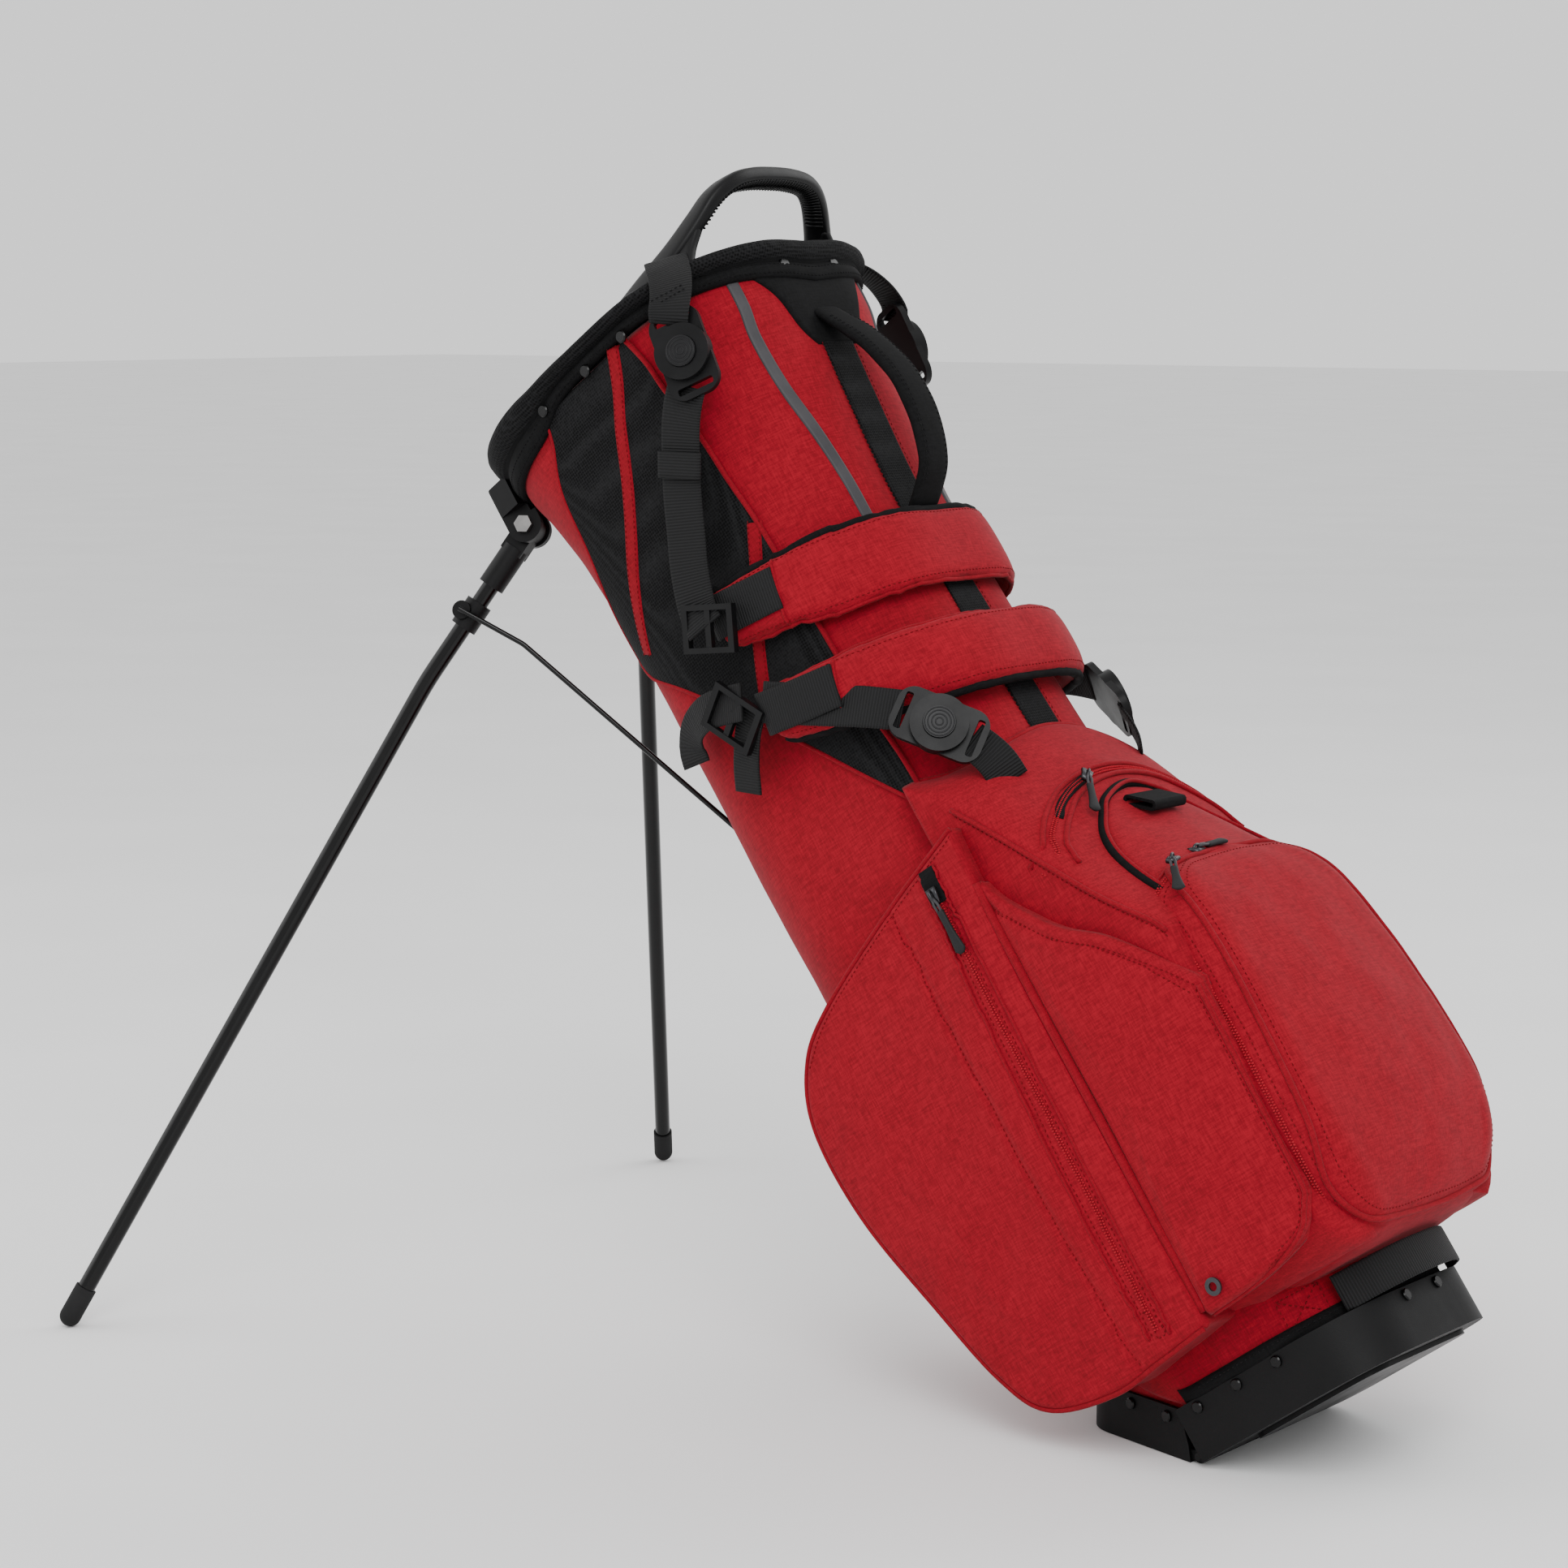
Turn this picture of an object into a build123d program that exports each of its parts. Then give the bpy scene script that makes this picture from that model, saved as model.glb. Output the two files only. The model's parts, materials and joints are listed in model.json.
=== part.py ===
from build123d import *
import math
import os

# Golf stand bag, standing on its two legs. Millimetres and degrees.
# The bag is drawn upright in its own frame: z runs up the bag from the sole of its base,
# x points to the bag's back (the ball pocket), the legs are on the -x side, y is its width.
# place() then leans it over its pedal hinge, so that +Z is up and the ground is z = 0.
# The origin is the centre of the pedal's flat sole.

os.makedirs("parts", exist_ok=True)

# ---------------------------------------------------------------- driving dimensions
LEAN = 35.47                 # the bag's axis from the vertical, standing on its legs
FIT = 0.05                   # radial running clearance
GAP = 0.6                    # space kept between neighbouring pieces

PEDAL_LENGTH = 104.0
PEDAL_HEIGHT = 33.0
PEDAL_ROOT_HALF = 84.0
PEDAL_TIP_HALF = 58.0
HINGE_HEIGHT = 5.0
HINGE_RADIUS = 5.0
HINGE_PIN_RADIUS = 2.5
HINGE_STEPS = ((-80, -50, "pedal"), (-49, -16, "base"), (-15, 15, "pedal"), (16, 49, "base"),
               (50, 80, "pedal"))

BASE_BACK = 162.0
BASE_HALF = 89.5
BASE_HEIGHT = 38.0
BASE_WALL = 3.5

# the fabric body: height, front, back, half width
BODY = ((8, -20, 155, 84),
        (90, -62, 150, 92),
        (170, -97, 141, 101),
        (290, -122, 131, 106),
        (430, -128, 121, 105),
        (560, -130, 114, 102),
        (680, -131, 110, 104),
        (770, -136, 116, 109),
        (845, -146, 122, 112))
CORNER = 0.8                 # corner radius of the body's section, as a share of its half width
WALL = 4.0
TOP = 845.0

CUFF_TOP = 884.0
CUFF_WALL = 5.0
DIVIDER_X = -10.0
DIVIDER_WALL = 3.0
PAD_THICK = 8.0
PAD_BOTTOM = 840.0
PAD_TOP = 887.0

LEG_PIVOT = (-154.0, 67.0, 832.5)
FOOT = (-828.0, 337.0)       # the foot's place on the ground, measured from the pedal hinge
FOOT_RADIUS = 8.0
LEG_RADIUS = 6.5
LEG_WALL = 1.2
BEND_AT = 137.0
BEND_OUT = 9.6
FOLD = 57.0                  # how far each leg folds
COLLAR_AT = 78.0
EYE_ASIDE = 17.5             # the wire's end from the leg's middle, along the fold axis
EYE_OUT = 4.0
KNEE_AT = 0.8                # the wire's bend, as a share of its length
KNEE_OFF = -9.0
KNUCKLE_HALF = 6.7
CHEEK_THICK = 5.0
CHEEK_RADIUS = 13.0
BOLT_RADIUS = 4.0
BUSH_RADIUS = 5.6

WIRE_RADIUS = 2.0
WIRE_ROOT = (-152.5, 10.5, 558.0)
WIRE_EYE_RADIUS = 4.2
SLIDER_PIN_RADIUS = 1.8
CHANNEL_HALF = 10.0
CHANNEL_BACK = -134.0
CHANNEL_FRONT = -146.0
ROD_X = -139.5
ROD_RADIUS = 2.2

POCKET_FACE = 135.0          # half distance between the two apparel pockets' outer faces
ZIP_LEAN = 1.42              # how far each apparel zipper leans back from the bag's axis
SLIP_FACE = 128.0
BALL_HALF = 106.0
BALL_BACK = 226.0

STRAP_WIDTH = 38.0
STRAP_THICK = 1.8
BUTTON_RADIUS = 11.0
BUTTON_TRAVEL = 2.5
CONNECTORS = {"upper": ((86.0, 123.0, 823.0), 22.0, -8.0), "lower": ((108.0, 100.0, 505.0), 43.0, 40.0)}


# ---------------------------------------------------------------- frames
SHIFT = PEDAL_LENGTH / 2 + 3.0
LEANED = Pos(SHIFT, 0, HINGE_HEIGHT) * Rot(0, -LEAN, 0) * Pos(0, 0, -HINGE_HEIGHT)
UPRIGHT = Pos(0, 0, HINGE_HEIGHT) * Rot(0, LEAN, 0) * Pos(-SHIFT, 0, -HINGE_HEIGHT)


def world(point):
    """A point of the upright bag, where it is once the bag leans."""
    return (LEANED * Pos(*point)).position


def turned(vector):
    """A direction of the upright bag, once the bag leans."""
    start = (LEANED * Pos(0, 0, 0)).position
    return (LEANED * Pos(vector.X, vector.Y, vector.Z)).position - start


def write(name, shape):
    export_step(shape, "parts/" + name + ".step")


def place(name, shape):
    """Write a piece that was drawn in the upright frame."""
    write(name, LEANED * shape)


def mirrored(shape):
    return shape.mirror(Plane.XZ)


def rod(start, end, radius):
    """A round bar between two points."""
    line = Vector(*end) - Vector(*start)
    plane = Plane(origin=start, z_dir=line)
    return plane * extrude(Circle(radius), line.length)


def block(low, high):
    """A box between two corners."""
    size = [high[i] - low[i] for i in range(3)]
    middle = [(high[i] + low[i]) / 2 for i in range(3)]
    return Pos(*middle) * Box(*size)


def side_plate(points, radius, low, high):
    """An outline in x and z, with rounded corners, between two values of y."""
    outline = Polygon(*points, align=None)
    if radius > 0:
        outline = fillet(outline.vertices(), radius)
    plane = Plane(origin=(0, high, 0), x_dir=(1, 0, 0), z_dir=(0, -1, 0))
    return plane * extrude(outline, high - low, dir=(0, 0, 1))


# ---------------------------------------------------------------- body
def section(height, front, back, half, grow):
    oval = RectangleRounded(back - front + 2 * grow, 2 * (half + grow), CORNER * half + grow)
    return Pos((front + back) / 2, 0, height) * oval


def tube(grow):
    """The bag's main tube, swollen by grow."""
    return loft([section(*row, grow) for row in BODY])


def pedal_room(grow):
    """The space in front of the base that the pedal swings in, in the upright frame."""
    front = -300.0
    edge = 10.3 + grow
    low = block((front, -200, -80), (edge, 200, BASE_HEIGHT + 1.5 + grow))
    ground = UPRIGHT * block((-400, -200, -200), (400, 200, PEDAL_HEIGHT + 3.5 + grow))
    return low + (ground & block((front, -200, -80), (edge, 200, 400)))


def body_shell():
    outside = tube(0) - pedal_room(0)
    inside = tube(-WALL) & block((-200, -200, 11), (200, 200, TOP + 1))
    return outside - (inside - pedal_room(3.0))


def stay_rods():
    """Four stays, sewn in the corners, that keep the tube stiff."""
    rods = []
    for side in (-1, 1):
        rods.append(rod((86, side * 58, 20), (86, side * 58, TOP - 8), 3.0))
        rods.append(rod((-98, side * 54, 300), (-98, side * 54, TOP - 8), 3.0))
    return Compound(rods)


def cross_divider():
    return block((DIVIDER_X - 1, -88, 120), (DIVIDER_X + 1, 88, TOP - 6))


def centre_dividers():
    back = block((DIVIDER_X + 2, -1, 120), (100, 1, TOP - 6))
    front = block((-112, -1, 320), (DIVIDER_X - 2, 1, TOP - 6))
    return Compound([back, front])


# ---------------------------------------------------------------- base and pedal
def base_outline(inset):
    """The base seen from below, square at the hinge and round at the back."""
    length = BASE_BACK - 6 - 2 * inset
    plate = Pos((BASE_BACK + 6) / 2, 0) * Rectangle(length, 2 * (BASE_HALF - inset))
    back = plate.vertices().sort_by(Axis.X)[-2:]
    return fillet(back, 56 - inset)


def base_shell():
    cup = extrude(base_outline(0), BASE_HEIGHT)
    cup -= Pos(0, 0, 4) * extrude(base_outline(BASE_WALL), BASE_HEIGHT)
    for low, high, owner in HINGE_STEPS:
        if owner == "base":
            cup += knuckle_bar(low, high)
            cup += block((0, low, 1.5), (8, high, HINGE_HEIGHT + 3.5))
    return cup - rod((0, -100, HINGE_HEIGHT), (0, 100, HINGE_HEIGHT), HINGE_PIN_RADIUS + FIT)


def knuckle_bar(low, high):
    return rod((0, low, HINGE_HEIGHT), (0, high, HINGE_HEIGHT), HINGE_RADIUS)


def base_skid_plate():
    """The thin sole that is screwed under the raised half of the base."""
    plate = Pos(86, 0) * Rectangle(112, 136)
    plate = fillet(plate.vertices(), 22)
    return Pos(0, 0, -3.2) * extrude(plate, 3.0)


def hinge_pin():
    return rod((0, -83, HINGE_HEIGHT), (0, 83, HINGE_HEIGHT), HINGE_PIN_RADIUS)


def rivet(point, normal, radius=4.0, height=2.0):
    plane = Plane(origin=point, z_dir=normal)
    head = plane * extrude(Circle(radius), height)
    return chamfer(head.faces().sort_by(Axis((0, 0, 0), normal))[-1].edges(), 0.8)


def base_rivets():
    heads = []
    for side in (-1, 1):
        for along in (24, 60, 96):
            heads.append(rivet((along, side * (BASE_HALF + 0.2), 32.5), (0, side, 0)))
        heads.append(rivet((BASE_BACK + 0.2, side * 20, 32.5), (1, 0, 0)))
    return Compound(heads)


def pedal_profile(inset):
    """The pedal from the side: its sole, its front, and the slope that clears the base."""
    end = -PEDAL_LENGTH - 3 + inset
    top = PEDAL_HEIGHT + 1 if inset else PEDAL_HEIGHT
    points = ((-6 - 4 * inset, 1.2 * inset), (end, 1.2 * inset), (end, top), (-17, top), (-8 - inset, 11))
    return Polygon(*points, align=None)


def pedal_plan(inset):
    tip = -PEDAL_LENGTH - 3
    root = PEDAL_ROOT_HALF - inset
    end = PEDAL_TIP_HALF - inset
    plan = Polygon((0, -root), (tip + inset, -end), (tip + inset, end), (0, root), align=None)
    return fillet(plan.vertices().sort_by(Axis.X)[:2], 30 - inset)


def pedal_block(inset):
    plane = Plane(origin=(0, 100, 0), x_dir=(1, 0, 0), z_dir=(0, -1, 0))
    side = plane * extrude(pedal_profile(inset), 200, dir=(0, 0, 1))
    return side & (Pos(0, 0, -5) * extrude(pedal_plan(inset), 60, dir=(0, 0, 1)))


def base_pedal():
    """The hinged front of the base, a shallow tray that lies flat on the ground."""
    tray = pedal_block(0) - pedal_block(3.0)
    for low, high, owner in HINGE_STEPS:
        if owner == "pedal":
            tray += knuckle_bar(low, high)
            tray += block((-12, low, 0.8), (0, high, HINGE_HEIGHT + 3.0))
    lug = block((-PEDAL_LENGTH - 19, -11, 17), (-PEDAL_LENGTH - 2, 11, 29))
    tray += lug
    return tray - rod((0, -100, HINGE_HEIGHT), (0, 100, HINGE_HEIGHT), HINGE_PIN_RADIUS + FIT)


def pedal_rivets():
    """Two heads on each sloping side of the pedal."""
    slope = math.degrees(math.atan2(PEDAL_ROOT_HALF - PEDAL_TIP_HALF, PEDAL_LENGTH + 3))
    heads = []
    for side in (-1, 1):
        for along in (28, 62):
            half = PEDAL_ROOT_HALF - along * math.tan(math.radians(slope)) + 0.25
            normal = (-math.sin(math.radians(slope)), side * math.cos(math.radians(slope)), 0)
            heads.append(rivet((-along, side * half, 26), normal))
    return Compound(heads)


# ---------------------------------------------------------------- top
def ring(outer, inner, low, high):
    """A band around the mouth, outer and inner being offsets from the tube's top section."""
    row = BODY[-1]
    band = section(0, *row[1:], outer) - section(0, *row[1:], inner)
    return Pos(0, 0, low) * extrude(band, high - low)


def top_cuff():
    """The moulded rim with its four-way divider."""
    cuff = ring(0, -CUFF_WALL, TOP + 0.5, CUFF_TOP)
    row = BODY[-1]
    inside = Pos(0, 0, TOP + 0.5) * extrude(section(0, *row[1:], -CUFF_WALL / 2), 34)
    bars = block((DIVIDER_X - DIVIDER_WALL / 2, -200, TOP), (DIVIDER_X + DIVIDER_WALL / 2, 200, CUFF_TOP))
    bars += block((-200, -DIVIDER_WALL / 2, TOP), (200, DIVIDER_WALL / 2, CUFF_TOP))
    return cuff + (bars & inside)


def collar_pad():
    """The padded fabric band around the outside of the rim."""
    return ring(PAD_THICK, GAP, PAD_BOTTOM + 6, PAD_TOP)


def lift_handle():
    """The moulded handle that arches back from the rim."""
    half = [(48, 99, 896), (90, 80, 904), (135, 50, 932)]
    route = [(x, -y, z) for x, y, z in half] + [(x, y, z) for x, y, z in reversed(half)]
    path = FilletPolyline(*route, radius=20)
    grip = Plane(origin=route[0], z_dir=path % 0) * Ellipse(9.0, 7.5)
    return sweep(grip, path=path)


def cuff_rivets():
    heads = []
    row = BODY[-1]
    out = row[3] + PAD_THICK + 0.2
    for side in (-1, 1):
        for along in (-50, 0, 42):
            heads.append(rivet((along, side * out, 868), (0, side, 0), 4.5))
        heads.append(rivet((row[2] + PAD_THICK + 0.2, side * 28, 868), (1, 0, 0), 4.5))
    return Compound(heads)


def spine_grab_handle():
    """The padded carry handle down the spine."""
    outer = [ThreePointArc((123, 834), (161, 750), (148, 692)), Line((148, 692), (113, 672))]
    inner = [ThreePointArc((123, 820), (151, 751), (139, 697)), Line((139, 697), (113, 683))]
    ends = [Line((123, 834), (123, 820)), Line((113, 672), (113, 683))]
    face = make_face(Curve() + outer + inner + ends)
    plane = Plane(origin=(0, 16, 0), x_dir=(1, 0, 0), z_dir=(0, -1, 0))
    return plane * extrude(face, 32, dir=(0, 0, 1))


def base_grab_loop():
    """The webbing loop sewn across the back, just above the base."""
    outer = ThreePointArc((158, -62), (183, 0), (158, 62))
    inner = ThreePointArc((158, -59), (180, 0), (158, 59))
    face = make_face(Curve() + [outer, inner, Line((158, -62), (158, -59)), Line((158, 62), (158, 59))])
    return Pos(0, 0, 39.0) * extrude(face, 25, dir=(0, 0, 1))


# ---------------------------------------------------------------- pockets
def apparel_pocket(clear):
    """The long side pocket, on the -y side."""
    outline = ((92, 437), (-106, 376), (-134, 316), (-118, 213), (-70, 70), (92, 64))
    pocket = side_plate(outline, 20, -POCKET_FACE, -70)
    return pocket - clear


def slip_pocket(clear, ball):
    """The open pocket on the side of the ball pocket, on the -y side."""
    outline = ((94, 384), (112, 374), (200, 262), (206, 104), (176, 76), (94, 70))
    return side_plate(outline, 6, -SLIP_FACE, -60) - clear - ball


def back_plan(low, high, half, radius):
    """The upright prism that rounds a back pocket's outer corners."""
    plan = Pos((low + high) / 2, 0) * Rectangle(high - low, 2 * half)
    plan = fillet(plan.vertices().sort_by(Axis.X)[-2:], radius)
    return extrude(plan, 900)


def ball_pocket(clear):
    profile = ((94, 66), (178, 66), (212, 84), (225, 118), (226, 200), (216, 300), (192, 344), (160, 358),
               (94, 358))
    pocket = side_plate(profile, 0, -BALL_HALF, BALL_HALF)
    face = Polygon((-96, 60), (-BALL_HALF, 110), (-BALL_HALF, 230), (-74, 358), (74, 358), (BALL_HALF, 230),
                   (BALL_HALF, 110), (96, 60), align=None)
    face = fillet(face.vertices().sort_by(Axis.Y)[-4:], 40)
    plane = Plane(origin=(60, 0, 0), x_dir=(0, 1, 0), z_dir=(1, 0, 0))
    pocket = pocket & (plane * extrude(face, 300, dir=(0, 0, 1)))
    return (pocket & back_plan(40, BALL_BACK, BALL_HALF, 44)) - clear


def small_pocket(clear):
    profile = ((94, 359), (184, 359), (172, 380), (150, 400), (94, 400))
    pocket = side_plate(profile, 0, -56, 56)
    return (pocket & back_plan(40, 184, 56, 32)) - clear


def valuables_pocket(clear):
    profile = ((94, 401), (154, 401), (136, 468), (94, 468))
    pocket = side_plate(profile, 0, -96, 96)
    return (pocket & back_plan(40, 154, 96, 50)) - clear


def loop_tab():
    """The flat loop on top of the small pocket."""
    band = extrude(RectangleRounded(26, 7.4, 3) - RectangleRounded(22, 3.4, 1.5), 38)
    plane = Plane(origin=(165.6, 19, 401), x_dir=(0.75, 0, -0.66), z_dir=(0, -1, 0))
    return plane * band


def drain_grommets():
    rings = []
    for side in (-1, 1):
        plane = Plane(origin=(108, side * (SLIP_FACE + 0.3), 90), z_dir=(0, side, 0))
        rings.append(plane * extrude(Circle(6) - Circle(3), 1.4))
    return Compound(rings)


# ---------------------------------------------------------------- shoulder straps
def shoulder_pad(clear, height, width, tilt, inner, outer, front):
    """A padded strap that wraps the bag's back, lower behind than at its two ends."""
    row = BODY[5]
    band = section(0, *row[1:], outer) - section(0, *row[1:], inner)
    band = Pos(0, 0, -width / 2) * extrude(band, width)
    band = band & block((front, -200, -60), (200, 200, 60))
    pivot = Pos(row[2], 0, height)
    return pivot * Rot(0, tilt, 0) * Pos(-row[2], 0, 0) * band - clear


def strip(start, end, width, normal):
    """A flat length of webbing between two points, normal being its face."""
    run = Vector(*end) - Vector(*start)
    plane = Plane(origin=start, x_dir=Vector(*normal).cross(run), z_dir=run)
    return plane * extrude(Rectangle(width, STRAP_THICK), run.length)


def strap_webbing():
    """The -y side's webbing: down from the upper connector, back to the lower one, and a tail."""
    upper = strip((82, -124, 786), (6, -124.5, 668), STRAP_WIDTH, (0.1, -1, 0))
    lower = strip((12, -130, 578), (76, -130, 534), STRAP_WIDTH - 8, (0, -1, 0))
    tail = strip((-30, -124, 583), (-28, -126, 530), STRAP_WIDTH - 10, (0, -1, 0))
    return Compound([upper, lower, tail])


def ladder_lock(point, angle):
    """A ladder-lock buckle: a frame with two cross bars."""
    frame = Box(34, 46, 5) - Box(26, 36, 6)
    frame += Box(26, 5, 4)
    plane = Plane(origin=point, x_dir=(1, 0, 0), z_dir=(0, -1, 0))
    return plane * Rot(0, 0, angle) * frame


def ladder_locks():
    near = [ladder_lock((-2, -130, 654), 60), ladder_lock((-20, -130, 592), 30)]
    return Compound(near + [mirrored(one) for one in near])


def connector_plane(which, side):
    point, turn, roll = CONNECTORS[which]
    normal = (math.sin(math.radians(turn)), -side * math.cos(math.radians(turn)), 0)
    up = (0, 0, 1)
    origin = (point[0], -side * point[1], point[2])
    return Plane(origin=origin, x_dir=Vector(*up).cross(Vector(*normal)), z_dir=normal) * Rot(0, 0, side * roll)


def connector(which, side):
    """A quick-release strap connector: a plate with webbing bars and a round button housing."""
    plate = extrude(RectangleRounded(38, 66, 12), 5)
    plate += extrude(Circle(20), 10)
    plate -= Pos(0, 26, 0) * extrude(RectangleRounded(27, 5, 1.5), 5)
    plate -= Pos(0, -26, 0) * extrude(RectangleRounded(27, 5, 1.5), 5)
    plate -= Pos(0, 0, 4) * extrude(Circle(BUTTON_RADIUS + 0.35), 8)
    return connector_plane(which, side) * plate


def connector_button(which, side):
    button = Pos(0, 0, 4 + BUTTON_TRAVEL + 0.4) * extrude(Circle(BUTTON_RADIUS), 4.6)
    return connector_plane(which, side) * button


# ---------------------------------------------------------------- legs
def leg_frame(side):
    """Pivot, deployed direction, fold axis and outward direction of one leg, in the leaned frame."""
    pivot = world((LEG_PIVOT[0], side * LEG_PIVOT[1], LEG_PIVOT[2]))
    foot = Vector(FOOT[0] + SHIFT, side * FOOT[1], FOOT_RADIUS)
    down = turned(Vector(0, 0, -1))
    along = (foot - pivot).normalized()
    axis = along.cross(down).normalized()
    outward = along.cross(axis).normalized()
    return pivot, foot, along, axis, outward


def leg_path(side):
    pivot, foot, along, axis, outward = leg_frame(side)
    bend = pivot + along * BEND_AT + outward * BEND_OUT
    first = (bend - pivot).normalized()
    return pivot, bend, foot, first


def leg_tube(side):
    pivot, bend, foot, first = leg_path(side)
    last = (foot - bend).normalized()
    path = FilletPolyline(pivot + first * 24, bend, foot - last * 3, radius=260)
    start = Plane(origin=path @ 0, z_dir=path % 0)
    return sweep(start * (Circle(LEG_RADIUS) - Circle(LEG_RADIUS - LEG_WALL)), path=path)


def leg_knuckle(side):
    """The moulded hinge end of a leg: a hub between the bracket's cheeks, a neck and a socket."""
    pivot, bend, foot, first = leg_path(side)
    axis = leg_frame(side)[3]
    hub = Plane(origin=pivot - axis * KNUCKLE_HALF, z_dir=axis) * extrude(Circle(11), 2 * KNUCKLE_HALF)
    neck = Plane(origin=pivot, x_dir=axis, z_dir=first) * extrude(Rectangle(2 * KNUCKLE_HALF, 18), 23)
    socket = Plane(origin=pivot + first * 18, z_dir=first) * extrude(Circle(10), 34)
    bore = Plane(origin=pivot + first * 23.5, z_dir=first) * extrude(Circle(LEG_RADIUS + 0.1), 40)
    hole = Plane(origin=pivot - axis * 20, z_dir=axis) * extrude(Circle(BUSH_RADIUS), 40)
    return hub + neck + socket - bore - hole


def leg_bush(side):
    pivot = leg_frame(side)[0]
    axis = leg_frame(side)[3]
    ring_face = Circle(BUSH_RADIUS) - Circle(BOLT_RADIUS + FIT)
    return Plane(origin=pivot - axis * KNUCKLE_HALF, z_dir=axis) * extrude(ring_face, 2 * KNUCKLE_HALF)


def wire_end(side):
    """Where the spreader wire ends, beside the leg's collar, and the direction away from the bag's middle."""
    pivot, foot, along, axis, outward = leg_frame(side)
    first = leg_path(side)[3]
    aside = axis * (-side)
    return pivot + first * COLLAR_AT + aside * EYE_ASIDE + outward * EYE_OUT, aside


def leg_collar(side):
    """The sleeve on the leg that the spreader wire pulls on, with its eye boss."""
    pivot, bend, foot, first = leg_path(side)
    tip, aside = wire_end(side)
    start = pivot + first * (COLLAR_AT - 11)
    sleeve = Plane(origin=start, z_dir=first) * extrude(Circle(10), 22)
    boss = Plane(origin=tip - aside * EYE_ASIDE, z_dir=aside) * extrude(Circle(7), EYE_ASIDE - 4.6)
    bore = Plane(origin=start - first * 5, z_dir=first) * extrude(Circle(LEG_RADIUS + 0.1), 40)
    return sleeve + boss - bore


def leg_foot(side):
    pivot, bend, foot, first = leg_path(side)
    last = (foot - bend).normalized()
    cap = Plane(origin=foot - last * 24, z_dir=last) * extrude(Circle(FOOT_RADIUS), 24)
    cap += Pos(foot.X, foot.Y, foot.Z) * Sphere(FOOT_RADIUS)
    room = Plane(origin=foot - last * 40, z_dir=last) * extrude(Circle(LEG_RADIUS + 0.1), 37.2)
    return cap - room


def pivot_bolts():
    """Each bolt runs through both cheeks, with a head outside and a nut inside."""
    bolts = []
    reach = KNUCKLE_HALF + CHEEK_THICK + 1.2
    for side in (-1, 1):
        pivot = leg_frame(side)[0]
        axis = leg_frame(side)[3] * (-side)
        shank = Plane(origin=pivot - axis * (reach + 4), z_dir=axis) * extrude(Circle(BOLT_RADIUS), 2 * reach + 5)
        head = Plane(origin=pivot + axis * reach, z_dir=axis) * extrude(RegularPolygon(7, 6), 4)
        nut = Plane(origin=pivot - axis * (reach + 4), z_dir=axis) * extrude(RegularPolygon(7, 6), 4)
        bolts.append(shank + head + nut)
    return Compound(bolts)


def leg_bracket(clear):
    """The moulded bracket on the front of the rim: two pairs of cheeks and a bridge."""
    up = turned(Vector(0, 0, 1))
    bar = block((-162, -84, 846), (-140, 84, 870))
    bridge = LEANED * fillet(bar.edges().group_by(Axis.X)[0], 4)
    holes = None
    slots = None
    for side in (-1, 1):
        pivot = leg_frame(side)[0]
        axis = leg_frame(side)[3]
        for end in (-1, 1):
            inner = KNUCKLE_HALF + 0.5
            start = pivot + axis * (inner if end == 1 else -inner - CHEEK_THICK)
            plane = Plane(origin=start, x_dir=up.cross(axis), z_dir=axis)
            cheek = plane * extrude(Circle(CHEEK_RADIUS), CHEEK_THICK)
            cheek += plane * extrude(Pos(0, 18) * Rectangle(2 * CHEEK_RADIUS, 36), CHEEK_THICK)
            bridge += cheek
        hole = Plane(origin=pivot - axis * 30, z_dir=axis) * extrude(Circle(BOLT_RADIUS + FIT), 60)
        slot = Plane(origin=pivot - axis * (KNUCKLE_HALF + 0.5), z_dir=axis)
        slot = slot * extrude(Circle(14.5), 2 * KNUCKLE_HALF + 1.0)
        holes = hole if holes is None else holes + hole
        slots = slot if slots is None else slots + slot
    return bridge - holes - slots - (LEANED * clear)


# ---------------------------------------------------------------- spreader
def wire_frame(side):
    """Root, tip and hinge axis of one spreader wire, in the leaned frame."""
    root = world((WIRE_ROOT[0], side * WIRE_ROOT[1], WIRE_ROOT[2]))
    pivot, bend, foot, first = leg_path(side)
    axis = leg_frame(side)[3]
    tip = wire_end(side)[0]
    folded = pivot + (tip - pivot).rotate(Axis((0, 0, 0), axis), FOLD)
    up = turned(Vector(0, 0, 1))
    reach = (tip - root).length
    gap = folded - root
    rise = gap.dot(up)
    across = (gap - up * rise).length
    drop = math.sqrt(reach ** 2 - across ** 2) - rise
    new_root = root - up * drop
    hinge = (tip - root).cross(folded - new_root).normalized()
    turn = math.degrees(math.acos((tip - root).dot(folded - new_root) / reach ** 2))
    return root, tip, hinge, turn, drop


def spreader_wire(side):
    """A wire arm: an eye on the slider's pin and two runs that end in front of the collar's boss."""
    root, tip, hinge, turn, drop = wire_frame(side)
    line = (tip - root).normalized()
    eye = Plane(origin=root - hinge * 1.8, z_dir=hinge) * extrude(Circle(WIRE_EYE_RADIUS), 3.6)
    hole = Plane(origin=root - hinge * 5, z_dir=hinge) * extrude(Circle(SLIDER_PIN_RADIUS + FIT), 10)
    knee = root + line * ((tip - root).length * KNEE_AT) + line.cross(hinge).normalized() * KNEE_OFF
    path = FilletPolyline(root + line * 2.5, knee, tip, radius=25)
    start = Plane(origin=path @ 0, z_dir=path % 0)
    return sweep(start * Circle(WIRE_RADIUS), path=path) + eye - hole


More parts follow.
